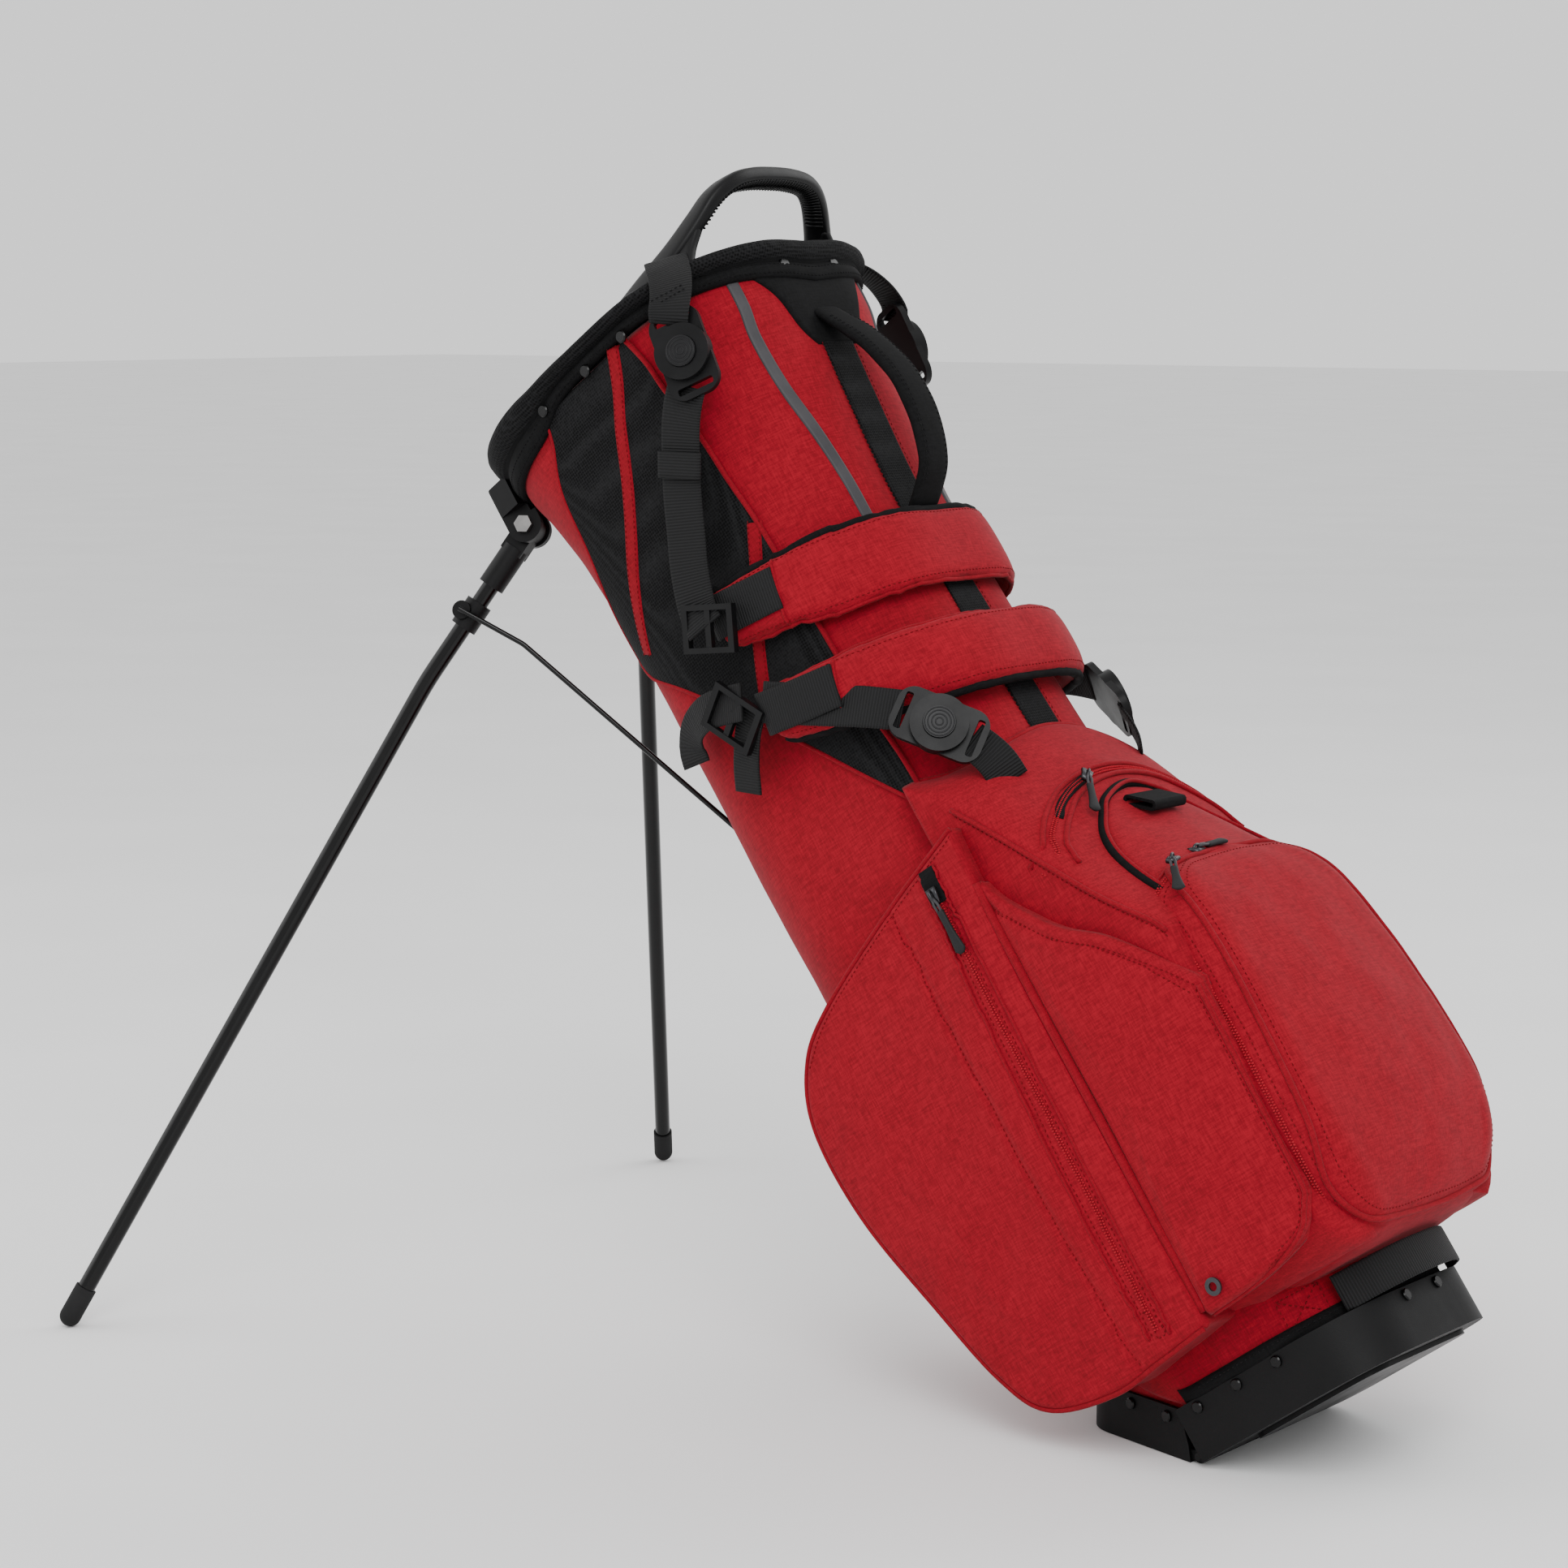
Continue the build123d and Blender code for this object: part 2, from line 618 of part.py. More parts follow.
def wire_slider():
    """The block that carries both wires along the channel, with a pin for each eye."""
    top = WIRE_ROOT[2]
    body = block((CHANNEL_FRONT + 0.5 - 11, -6.4, top - 13), (CHANNEL_BACK - 4.6, 6.4, top + 9))
    piece = LEANED * body
    for side in (-1, 1):
        root, tip, hinge, turn, drop = wire_frame(side)
        out = hinge if hinge.Y * side > 0 else hinge * -1
        piece += Plane(origin=root - out * 7.5, z_dir=out) * extrude(Circle(SLIDER_PIN_RADIUS), 11)
    room = LEANED * rod((ROD_X, 0, top - 40), (ROD_X, 0, top - 6), ROD_RADIUS + 0.05)
    return piece - room


def push_rod():
    """The steel rod from the pedal up to the slider, bent in towards the pedal."""
    low = (-76, 0, 101)
    path = FilletPolyline((ROD_X, 0, WIRE_ROOT[2] - 6.5), (ROD_X, 0, 285), low, radius=60)
    start = Plane(origin=path @ 0, z_dir=path % 0)
    return sweep(start * Circle(ROD_RADIUS), path=path)


def rod_channel():
    """The U-shaped rail on the bag's front that guides the rod and the slider."""
    channel = block((CHANNEL_FRONT, -CHANNEL_HALF, 330), (CHANNEL_BACK, CHANNEL_HALF, 590))
    return channel - block((CHANNEL_FRONT - 1, -7, 320), (CHANNEL_BACK - 3, 7, 600))


# ---------------------------------------------------------------- zippers
def zip_slider(plane):
    """A zipper slider with its pull hanging below it, drawn on the zipper's own plane."""
    body = Pos(0, 0, 1.2) * Box(7, 10, 2.4)
    bail = Pos(0, 0, 3.2) * Box(3, 8, 1.6)
    pull = Pos(0, -22, 1.6) * Box(7, 38, 2.2)
    return plane * (body + bail + pull)


def ball_zip_plane(side):
    """The ball pocket's side zipper: it runs down and outward beside the back face."""
    top = Vector(206, side * 77.5, 338)
    low = Vector(213, side * 102.5, 276)
    along = (top - low).normalized()
    out = Vector(0.62, side * 0.78, 0.2)
    across = along.cross(out).normalized()
    return Plane(origin=top, x_dir=across, z_dir=across.cross(along))


def zip_sliders():
    """Each slider's plane: z out of the pocket, y up the zipper."""
    slope = math.atan2(18, 67)
    found = {}
    lean = math.radians(ZIP_LEAN)
    for side, word in ((-1, "near"), (1, "far")):
        across = (-side * math.cos(lean), 0, side * math.sin(lean))
        found["apparel_zip_" + word] = Plane(origin=(61, side * (POCKET_FACE + 0.5), 408), x_dir=across,
                                             z_dir=(0, side, 0))
    out = Vector(math.cos(slope), 0, math.sin(slope))
    run = Vector(-0.59 * math.sin(slope), 0.81, 0.59 * math.cos(slope))
    found["valuables_zip"] = Plane(origin=(148.6, -34, 425), x_dir=run.cross(out), z_dir=out)
    found["ball_zip_near"] = ball_zip_plane(-1)
    found["ball_zip_far"] = Plane(origin=(206, -20, 336), x_dir=(0, 0, 1), z_dir=(0.88, 0, 0.47))
    return found


def main():
    """Draw and write every piece."""
    clear = tube(GAP + 0.4)
    rim = ring(PAD_THICK + GAP, -20, PAD_BOTTOM, PAD_TOP + 30)
    place("body_shell", body_shell())
    place("stay_rods", stay_rods())
    place("cross_divider", cross_divider())
    place("centre_dividers", centre_dividers())
    place("base_shell", base_shell())
    place("base_skid_plate", base_skid_plate())
    place("pedal_hinge_pin", hinge_pin())
    place("base_rivets", base_rivets())
    pedal = Pos(SHIFT, 0, 0) * base_pedal()
    write("base_pedal", pedal)
    write("pedal_rivets", Pos(SHIFT, 0, 0) * pedal_rivets())
    place("top_cuff", top_cuff())
    place("collar_pad", collar_pad())
    place("lift_handle", lift_handle())
    place("cuff_rivets", cuff_rivets())
    place("spine_grab_handle", spine_grab_handle())
    place("base_grab_loop", base_grab_loop())
    ball = ball_pocket(clear)
    ball_room = side_plate(((60, 60), (240, 60), (240, 430), (60, 430)), 0, -BALL_HALF - GAP, BALL_HALF + GAP)
    pocket = apparel_pocket(clear)
    slip = slip_pocket(clear, ball_room) - side_plate(((60, 50), (93, 50), (93, 450), (60, 450)), 0, -200, 0)
    place("apparel_pocket_near", pocket)
    place("apparel_pocket_far", mirrored(pocket))
    place("slip_pocket_near", slip)
    place("slip_pocket_far", mirrored(slip))
    place("ball_pocket", ball)
    place("small_pocket", small_pocket(clear))
    place("valuables_pocket", valuables_pocket(clear))
    place("loop_tab", loop_tab())
    place("drain_grommets", drain_grommets())
    place("shoulder_pad_upper", shoulder_pad(clear, 636, 66, 8.4, 3.0, 16.0, 16))
    place("shoulder_pad_lower", shoulder_pad(clear, 549, 60, 12.3, 5.0, 26.0, 20))
    place("strap_webbing_near", strap_webbing())
    place("strap_webbing_far", mirrored(strap_webbing()))
    place("ladder_locks", ladder_locks())
    for which in CONNECTORS:
        for side, word in ((1, "near"), (-1, "far")):
            place("connector_%s_%s" % (which, word), connector(which, side))
            place("button_%s_%s" % (which, word), connector_button(which, side))
    for side, word in ((-1, "near"), (1, "far")):
        write("leg_tube_" + word, leg_tube(side))
        write("leg_knuckle_" + word, leg_knuckle(side))
        write("leg_bush_" + word, leg_bush(side))
        write("leg_collar_" + word, leg_collar(side))
        write("leg_foot_" + word, leg_foot(side))
        write("spreader_wire_" + word, spreader_wire(side))
    write("pivot_bolts", pivot_bolts())
    write("leg_bracket", leg_bracket(tube(GAP) + rim))
    write("wire_slider", wire_slider())
    place("push_rod", push_rod())
    place("rod_channel", rod_channel())
    for name, plane in zip_sliders().items():
        place(name, zip_slider(plane))


main()
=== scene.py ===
"""Golf stand bag: fabric, padding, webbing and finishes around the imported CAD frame.

Soft pieces are drawn in the bag's own upright frame, in millimetres: z runs up the bag from the sole of
its base, x points to its back, y is its width, and the near side is -y. LEANED then leans them over the
pedal hinge, as the frame does. A place on the body's skin is (w, z): w is the distance round the body
from the middle of its back, positive on the near side.
"""

import json
from math import copysign, cos, exp, hypot, pi, radians, sin, sqrt

import bmesh
import bpy
from mathutils import Matrix, Vector
from mathutils.bvhtree import BVHTree
from mathutils.noise import noise

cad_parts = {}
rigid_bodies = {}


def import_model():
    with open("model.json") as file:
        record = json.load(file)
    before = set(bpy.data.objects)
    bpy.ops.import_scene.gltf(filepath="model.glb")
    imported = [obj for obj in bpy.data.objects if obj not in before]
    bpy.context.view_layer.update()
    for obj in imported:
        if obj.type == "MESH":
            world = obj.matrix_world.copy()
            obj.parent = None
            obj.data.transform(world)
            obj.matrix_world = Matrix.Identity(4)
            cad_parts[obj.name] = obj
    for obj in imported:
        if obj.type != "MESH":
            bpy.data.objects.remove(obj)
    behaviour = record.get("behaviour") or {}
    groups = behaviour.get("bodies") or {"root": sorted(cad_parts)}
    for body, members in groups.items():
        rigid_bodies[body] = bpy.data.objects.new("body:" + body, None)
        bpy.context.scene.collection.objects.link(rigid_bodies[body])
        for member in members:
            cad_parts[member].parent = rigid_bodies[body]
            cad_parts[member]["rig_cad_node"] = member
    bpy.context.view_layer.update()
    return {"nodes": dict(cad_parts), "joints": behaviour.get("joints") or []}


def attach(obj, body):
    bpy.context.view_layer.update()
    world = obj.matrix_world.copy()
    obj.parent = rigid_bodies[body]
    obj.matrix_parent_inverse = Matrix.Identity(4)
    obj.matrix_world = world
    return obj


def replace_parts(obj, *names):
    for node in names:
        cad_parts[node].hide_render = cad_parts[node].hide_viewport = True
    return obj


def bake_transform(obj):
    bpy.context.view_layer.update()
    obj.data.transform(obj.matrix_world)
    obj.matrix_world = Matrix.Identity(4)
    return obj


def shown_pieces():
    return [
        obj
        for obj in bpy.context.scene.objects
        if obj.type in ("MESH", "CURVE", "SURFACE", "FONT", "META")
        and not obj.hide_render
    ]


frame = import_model()

MM = 0.001
LEAN = radians(35.47)
HINGE = Vector(next(j for j in frame["joints"] if j["name"] == "pedal_hinge")["pos_m"])
LEANED = Matrix.Translation(HINGE) @ Matrix.Rotation(-LEAN, 4, "Y") @ Matrix.Translation((0, 0, -HINGE.z))
NEAR = 1
FAR = -1
SIDES = ((NEAR, "near"), (FAR, "far"))

# the fabric body: height, front, back, half width
BODY = ((8, -20, 155, 84), (90, -62, 150, 92), (170, -97, 141, 101), (290, -122, 131, 106),
        (430, -128, 121, 105), (560, -130, 114, 102), (680, -131, 110, 104), (770, -136, 116, 109),
        (820, -145, 121.5, 112), (845, -152, 126.2, 114.2), (890, -152.5, 126.3, 114.3))
# its corners' radius, as a share of its half width
CORNER = 0.8


# ---------------------------------------------------------------- materials
def setup(node, **values):
    """Set a node: a name that matches a socket (with _ for a space) sets it, any other a property."""
    for key, value in values.items():
        name = key.replace("_", " ")
        if name in node.inputs:
            node.inputs[name].default_value = value
        else:
            setattr(node, key, value)
    return node


def through(tree, source, kind, socket=0, output=0, **values):
    """Feed a new node from source, and give its output."""
    node = setup(tree.nodes.new(kind), **values)
    tree.links.new(source, node.inputs[socket])
    return node.outputs[output]


def new_material(name, **values):
    mat = bpy.data.materials.new(name)
    mat.use_nodes = True
    tree = mat.node_tree
    return mat, tree, setup(tree.nodes["Principled BSDF"], **values)


def coordinates(tree, scale, attribute=None):
    """Upright object coordinates, or a stored point attribute, times a scale."""
    if attribute:
        source = setup(tree.nodes.new("ShaderNodeAttribute"), attribute_name=attribute).outputs["Vector"]
    else:
        source = tree.nodes.new("ShaderNodeTexCoord").outputs["Object"]
        source = through(tree, source, "ShaderNodeMapping", Rotation=(0, LEAN, 0))
    return through(tree, source, "ShaderNodeMapping", Scale=scale)


def noise_output(tree, across, up=None, detail=2.0, roughness=0.5):
    """Noise that is scaled by across in the plane and by up along the bag."""
    scaled = coordinates(tree, (across, across, up or across))
    return through(tree, scaled, "ShaderNodeTexNoise", Scale=1.0, Detail=detail, Roughness=roughness)


def colour_by(tree, shader, factor, low, high, start=0.3, end=0.7):
    """Colour a shader from low to high by a factor."""
    ramp = tree.nodes.new("ShaderNodeValToRGB")
    for element, place, colour in zip(ramp.color_ramp.elements, (start, end), (low, high)):
        element.position = place
        element.color = (*colour, 1)
    tree.links.new(factor, ramp.inputs["Fac"])
    tree.links.new(ramp.outputs["Color"], shader.inputs["Base Color"])


def average(tree, first, second):
    total = setup(tree.nodes.new("ShaderNodeMath"), operation="ADD")
    tree.links.new(first, total.inputs[0])
    tree.links.new(second, total.inputs[1])
    half = setup(tree.nodes.new("ShaderNodeMath"), operation="MULTIPLY")
    half.inputs[1].default_value = 0.5
    tree.links.new(total.outputs[0], half.inputs[0])
    return half.outputs[0]


def bump(tree, shader, height, strength, distance):
    normal = through(tree, height, "ShaderNodeBump", "Height", Strength=strength, Distance=distance)
    tree.links.new(normal, shader.inputs["Normal"])


def grey(level, blue=None):
    """A neutral colour, which may be a little bluer."""
    return (level, level, blue or level)


def woven_fabric(name, dark, light, sheen, thread=0.0005):
    """Plain weave: warp and weft are two noises, each stretched along its own threads."""
    mat, tree, shader = new_material(name, Roughness=0.86, Sheen_Weight=sheen, Sheen_Roughness=0.45,
                                     Specular_IOR_Level=0.13)
    fine = 0.45 / thread
    slow = 0.06 / thread
    weave = average(tree, noise_output(tree, fine, slow), noise_output(tree, slow, fine))
    tone = noise_output(tree, 26, detail=4.0)
    for _ in range(3):
        tone = average(tree, weave, tone)
    colour_by(tree, shader, tone, dark, light, 0.36, 0.64)
    bump(tree, shader, weave, 0.55, 0.00022)
    return mat


def spacer_mesh(name, cell=0.0021):
    """Knitted spacer mesh: staggered round holes, painted dark as shade, between raised ribs."""
    mat, tree, shader = new_material(name, Roughness=0.8, Specular_IOR_Level=0.1)
    holes = through(tree, coordinates(tree, (1 / cell,) * 3), "ShaderNodeTexVoronoi", feature="SMOOTH_F1",
                    Scale=1.0, Randomness=0.22, Smoothness=0.25)
    # painted shade and highlight: the holes are coloured near black as shade, the ribs lighter as a painted
    # highlight
    colour_by(tree, shader, holes, grey(0.0006, 0.0007), grey(0.0130, 0.0137), 0.22, 0.75)
    bump(tree, shader, holes, 0.8, 0.0007)
    return mat


def ribbed_webbing(name, pitch=0.0021):
    """Polyester webbing: ribs across its run, read from the point attribute run."""
    mat, tree, shader = new_material(name, Roughness=0.7, Sheen_Weight=0.01, Specular_IOR_Level=0.22)
    # a wave texture of scale 1 has 20 radians to the unit
    scale = 2 * pi / pitch / 20
    ribs = through(tree, coordinates(tree, (scale,) * 3, "run"), "ShaderNodeTexWave", output="Fac",
                   bands_direction="X", Scale=1.0, Distortion=0.35, Detail=1.0, Detail_Scale=3.0)
    # painted shade and highlight: the grooves between the ribs are coloured darker, the rib crests lighter
    colour_by(tree, shader, ribs, grey(0.0010, 0.0011), grey(0.0065, 0.0070), 0.1, 0.9)
    bump(tree, shader, ribs, 0.7, 0.0006)
    return mat


def moulded(name, dark, light, roughness, grain=0.00045, depth=0.00006, metallic=0.0):
    """Moulded or coated surface: fine grain, and faint wear in its gloss."""
    mat, tree, shader = new_material(name, Roughness=roughness, Metallic=metallic,
                                     Specular_IOR_Level=0.5 if metallic > 0.5 else 0.16)
    texture = noise_output(tree, 1 / grain, detail=1.0)
    worn = noise_output(tree, 30, detail=5.0, roughness=0.65)
    colour_by(tree, shader, worn, dark, light)
    gloss = through(tree, worn, "ShaderNodeMapRange", From_Min=0.3, From_Max=0.7, To_Min=roughness - 0.06,
                    To_Max=roughness + 0.08)
    tree.links.new(gloss, shader.inputs["Roughness"])
    bump(tree, shader, texture, 0.4, depth)
    return mat


RED = woven_fabric("red_weave", (0.160, 0.0016, 0.0070), (0.275, 0.0034, 0.0130), 0.04)
RED_TRIM = woven_fabric("red_binding", (0.150, 0.0014, 0.0060), (0.240, 0.0028, 0.0110), 0.03, 0.0004)
RED_THREAD = woven_fabric("red_thread", (0.100, 0.0010, 0.0030), (0.160, 0.0020, 0.0060), 0.02, 0.0003)
RED_ZIP = woven_fabric("red_zip_coil", (0.300, 0.0050, 0.0140), (0.400, 0.0100, 0.0220), 0.05, 0.0003)
BLACK = woven_fabric("black_binding", grey(0.0014, 0.0015), grey(0.0050, 0.0054), 0.0)
MESH = spacer_mesh("black_spacer_mesh")
LINING = woven_fabric("black_lining", grey(0.0040, 0.0043), grey(0.0100, 0.0106), 0.02, 0.0007)
WEBBING = ribbed_webbing("black_webbing")
REFLECTIVE = moulded("grey_reflective_tape", (0.034, 0.033, 0.036), (0.050, 0.048, 0.052), 0.42,
                     0.0003, 0.00003)
PLASTIC = moulded("black_moulded_plastic", grey(0.0028, 0.0030), grey(0.0050, 0.0054), 0.40)
TEXTURED = moulded("black_textured_plastic", grey(0.0024, 0.0026), grey(0.0045, 0.0048), 0.55, 0.0009, 0.0002)
BUTTON = moulded("black_button", grey(0.0090, 0.0095), grey(0.0140, 0.0150), 0.36)
PULL = moulded("black_rubber_pull", grey(0.0100, 0.0105), grey(0.0170, 0.0180), 0.6)
NYLON = moulded("natural_nylon", (0.60, 0.59, 0.55), (0.74, 0.73, 0.69), 0.45)
RUBBER = moulded("black_rubber", grey(0.0070, 0.0072), grey(0.0160, 0.0165), 0.72, 0.0007, 0.00012)
ANODISED = moulded("black_anodised_tube", grey(0.0020, 0.0021), grey(0.0035, 0.0037), 0.17,
                   0.0003, 0.00001, 0.55)
STEEL = moulded("black_coated_steel", grey(0.0025, 0.0027), grey(0.0045, 0.0048), 0.26,
                0.0003, 0.00002, 0.55)
ZINC = moulded("zinc_bolt", grey(0.20), (0.34, 0.33, 0.32), 0.34, 0.0002, 0.00001, 1.0)
GUNMETAL = moulded("gunmetal_zip", grey(0.030, 0.033), grey(0.060, 0.065), 0.3, 0.0003, 0.00002, 0.85)
GLASS_FIBRE = moulded("glass_fibre", grey(0.55, 0.50), grey(0.70, 0.65), 0.5)


# ---------------------------------------------------------------- mesh helpers
def mesh_object(name, verts, faces, material, run=None):
    """A smooth mesh object from points in millimetres. run is an optional (u, v) per point."""
    mesh = bpy.data.meshes.new(name)
    mesh.from_pydata([Vector(v) * MM for v in verts], [], faces)
    mesh.materials.append(material)
    if run:
        attribute = mesh.attributes.new("run", "FLOAT_VECTOR", "POINT")
        attribute.data.foreach_set("vector", [c * MM for u, v in run for c in (u, v, 0.0)])
    mesh.polygons.foreach_set("use_smooth", [True] * len(mesh.polygons))
    obj = bpy.data.objects.new(name, mesh)
    bpy.context.scene.collection.objects.link(obj)
    return obj


def piece(name, verts, faces, material, body="bag", run=None, slot=None):
    """A leaned mesh that rides on a body."""
    obj = mesh_object(name, verts, faces, material, run)
    obj.matrix_world = LEANED
    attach(obj, body)
    return obj


def grid_faces(rows, columns, wrap_rows=False, wrap_columns=False, start=0):
    faces = []
    for i in range(rows if wrap_rows else rows - 1):
        for j in range(columns if wrap_columns else columns - 1):
            after = (j + 1) % columns
            this = start + i * columns
            next_row = start + ((i + 1) % rows) * columns
            faces.append((this + j, this + after, next_row + after, next_row + j))
    return faces


def tube_faces(rows, columns, closed=False, wrap=True):
    """Faces of a row of rings, which is closed end to end or capped. Without wrap the rings stay open."""
    faces = grid_faces(rows, columns, closed, wrap)
    if not closed:
        faces.append(tuple(reversed(range(columns))))
        faces.append(tuple(range((rows - 1) * columns, rows * columns)))
    return faces


def outward(obj):
    """Make the mesh's normals consistent."""
    work = bmesh.new()
    work.from_mesh(obj.data)
    bmesh.ops.recalc_face_normals(work, faces=work.faces)
    work.to_mesh(obj.data)
    work.free()
    return obj


def join_shapes(shapes):
    """Several (verts, faces) lists as one."""
    verts = []
    faces = []
    for some_verts, some_faces in shapes:
        base = len(verts)
        verts += some_verts
        faces += [tuple(base + i for i in face) for face in some_faces]
    return verts, faces


def mirrored(points):
    """The points with their mirror image after them; the last point lies in the middle plane."""
    return list(points) + [(x, -y, z) for x, y, z in reversed(points[:-1])]


def turned_to(side, points):
    """Points that are given with y positive, on one side of the bag."""
    return [(x, -side * y, z) for x, y, z in points]


def path_length(points):
    return sum((b - a).length for a, b in zip(points, points[1:]))


def polyline_at(points, t):
    """A point of a polyline, t being the share of its length."""
    goal = t * path_length(points)
    for a, b in zip(points, points[1:]):
        length = (b - a).length
        if goal <= length or b == points[-1]:
            return a.lerp(b, min(1.0, goal / max(length, 1e-9)))
        goal -= length
    return points[-1]


def smooth_line(points, step=4.0, closed=False):
    """Catmull-Rom curve through the points, as points about step apart."""
    knots = [Vector(p) for p in points]
    count = len(knots)
    result = []
    for i in range(count if closed else count - 1):
        b = knots[i]
        c = knots[(i + 1) % count]
        a = knots[i - 1] if closed or i > 0 else b * 2 - c
        d = knots[(i + 2) % count] if closed or i + 2 < count else c * 2 - b
        steps = max(1, round((c - b).length / step))
        for k in range(steps):
            t = k / steps
            result.append(0.5 * (2 * b + (c - a) * t + (2 * a - 5 * b + 4 * c - d) * t * t
                                 + (3 * b - a - 3 * c + d) * t ** 3))
    if not closed:
        result.append(knots[-1])
    return result


def flat_line(points, step=4.0):
    """A smooth line through points in a plane, its third number zero."""
    return smooth_line([(u, v, 0) for u, v in points], step)


def frames_along(path, normal_at=None, closed=False):
    """(point, normal, side) along a path. normal_at gives the wanted normal at each index."""
    result = []
    last = None
    count = len(path)
    for i, point in enumerate(path):
        before = path[i - 1] if closed or i > 0 else path[i]
        after = path[(i + 1) % count] if closed or i + 1 < count else path[i]
        tangent = (after - before).normalized()
        guide = normal_at(i) if normal_at else (last or Vector((0.3, 0.2, 1)).cross(tangent))
        last = (guide - tangent * guide.dot(tangent)).normalized()
        result.append((point, last, tangent.cross(last)))
    return result


def tube_shape(path, radius, sides=8, closed=False):
    """A round cord along a path."""
    verts = []
    for point, normal, side in frames_along(path, closed=closed):
        for k in range(sides):
            angle = 2 * pi * k / sides
            verts.append(point + normal * (radius * cos(angle)) + side * (radius * sin(angle)))
    return verts, tube_faces(len(path), sides, closed)


def band_shape(path, normal_at, width, thick):
    """Flat webbing along a path: rounded selvedges, and its (run, across) numbers."""
    verts = []
    run = []
    profile = ((-0.5, 0.0), (-0.485, 0.42), (-0.42, 0.5), (-0.2, 0.5), (0, 0.5), (0.2, 0.5), (0.42, 0.5),
               (0.485, 0.42), (0.5, 0.0), (0.485, -0.42), (0.42, -0.5), (0, -0.5), (-0.42, -0.5),
               (-0.485, -0.42))
    distance = 0.0
    for i, (point, normal, side) in enumerate(frames_along(path, normal_at)):
        if i:
            distance += (point - path[i - 1]).length
        for across, up in profile:
            verts.append(point + side * (across * width) + normal * (up * thick))
            run.append((distance, across * width))
    return verts, tube_faces(len(path), len(profile)), run


def resampled(path, step):
    """The same polyline with evenly spaced points."""
    lengths = [0.0]
    for a, b in zip(path, path[1:]):
        lengths.append(lengths[-1] + (b - a).length)
    count = max(2, round(lengths[-1] / step) + 1)
    result = []
    at = 0
    for k in range(count):
        goal = lengths[-1] * k / (count - 1)
        while at < len(path) - 2 and lengths[at + 1] < goal:
            at += 1
        span = max(lengths[at + 1] - lengths[at], 1e-9)
        result.append(path[at].lerp(path[at + 1], (goal - lengths[at]) / span))
    return result


def stitch_shape(path, normal_at, length=2.6, gap=1.3, radius=0.42):
    """A row of thread stitches: short lozenges that dive into the cloth at both ends."""
    points = resampled(path, length + gap)
    shapes = []
    for a, b in zip(points, points[1:]):
        tangent = (b - a).normalized()
        normal = normal_at(a)
        side = tangent.cross(normal).normalized()
        end = a + tangent * length
        middle = (a + end) / 2
        verts = [a - normal * radius, end - normal * radius]
        for centre, size in ((a.lerp(end, 0.25), 0.8), (middle, 1.0), (a.lerp(end, 0.75), 0.8)):
            for k in range(4):
                angle = pi / 2 * k
                verts.append(centre + (normal * cos(angle) + side * sin(angle)) * (radius * size))
        faces = grid_faces(3, 4, wrap_columns=True, start=2)
        faces += [(0, 2 + (k + 1) % 4, 2 + k) for k in range(4)]
        faces += [(1, 10 + k, 10 + (k + 1) % 4) for k in range(4)]
        shapes.append((verts, faces))
    return join_shapes(shapes)


def strip_piece(name, path, normal_at, width, thick, material):
    """A flat band as a piece."""
    verts, faces, run = band_shape(path, normal_at, width, thick)
    return outward(piece(name, verts, faces, material, run=run))


def rounded(k, sides, across_power, up_power):
    """Point k of a ring between a circle (powers of 1) and a square (powers of 0)."""
    angle = 2 * pi * k / sides
    across = cos(angle)
    up = sin(angle)
    return copysign(abs(across) ** across_power, across), copysign(abs(up) ** up_power, up)


# ---------------------------------------------------------------- the body's skin
def smooth_rows(rows, at):
    """The values of a table at a key, smooth through its rows; the first column is the key."""
    keys = [row[0] for row in rows]
    at = max(keys[0], min(keys[-1], at))
    i = max(0, min(len(rows) - 2, sum(1 for key in keys if key <= at) - 1))
    span = keys[i + 1] - keys[i]
    t = (at - keys[i]) / span

    def slope(j, k):
        low = max(0, j - 1)
        high = min(len(rows) - 1, j + 1)
        return (rows[high][k] - rows[low][k]) / (keys[high] - keys[low])

    found = []
    for k in range(1, len(rows[0])):
        value = (2 * t ** 3 - 3 * t ** 2 + 1) * rows[i][k] + (3 * t ** 2 - 2 * t ** 3) * rows[i + 1][k]
        value += (t ** 3 - 2 * t ** 2 + t) * span * slope(i, k) + (t ** 3 - t ** 2) * span * slope(i + 1, k)
        found.append(value)
    return found


def body_section(z):
    """Front, back, half width and corner radius of the body at a height."""
    front, back, half = smooth_rows(BODY, z)
    return front, back, half, CORNER * half


def half_girth(z):
    front, back, half, radius = body_section(z)
    return 2 * (half - radius) + pi * radius + (back - front - 2 * radius)


def skin(w, z, off=0.0):
    """The point of the body's skin at (w, z), moved out by off, and its normal."""
    front, back, half, radius = body_section(z)
    flat = half - radius
    quarter = pi * radius / 2
    side = back - front - 2 * radius
    far = abs(w)
    sign = -1 if w > 0 else 1
    if far <= flat:
        x, y, nx, ny = back, far, 1.0, 0.0
    elif far <= flat + quarter:
        angle = (far - flat) / radius
        nx, ny = cos(angle), sin(angle)
        x, y = back - radius + radius * nx, flat + radius * ny
    elif far <= flat + quarter + side:
        x, y, nx, ny = back - radius - (far - flat - quarter), half, 0.0, 1.0
    elif far <= flat + 2 * quarter + side:
        angle = (far - flat - quarter - side) / radius
        nx, ny = -sin(angle), cos(angle)
        x, y = front + radius + radius * nx, flat + radius * ny
    else:
        x, y, nx, ny = front, flat + 2 * quarter + side + flat - far, -1.0, 0.0
    normal = Vector((nx, sign * ny, 0))
    return Vector((x, sign * y, z)) + normal * off, normal


def skin_path(points, off, side):
    """A smooth line on the skin through (w, z) points."""
    return [skin(side * p.x, p.y, off)[0] for p in flat_line(points, 3.0)]


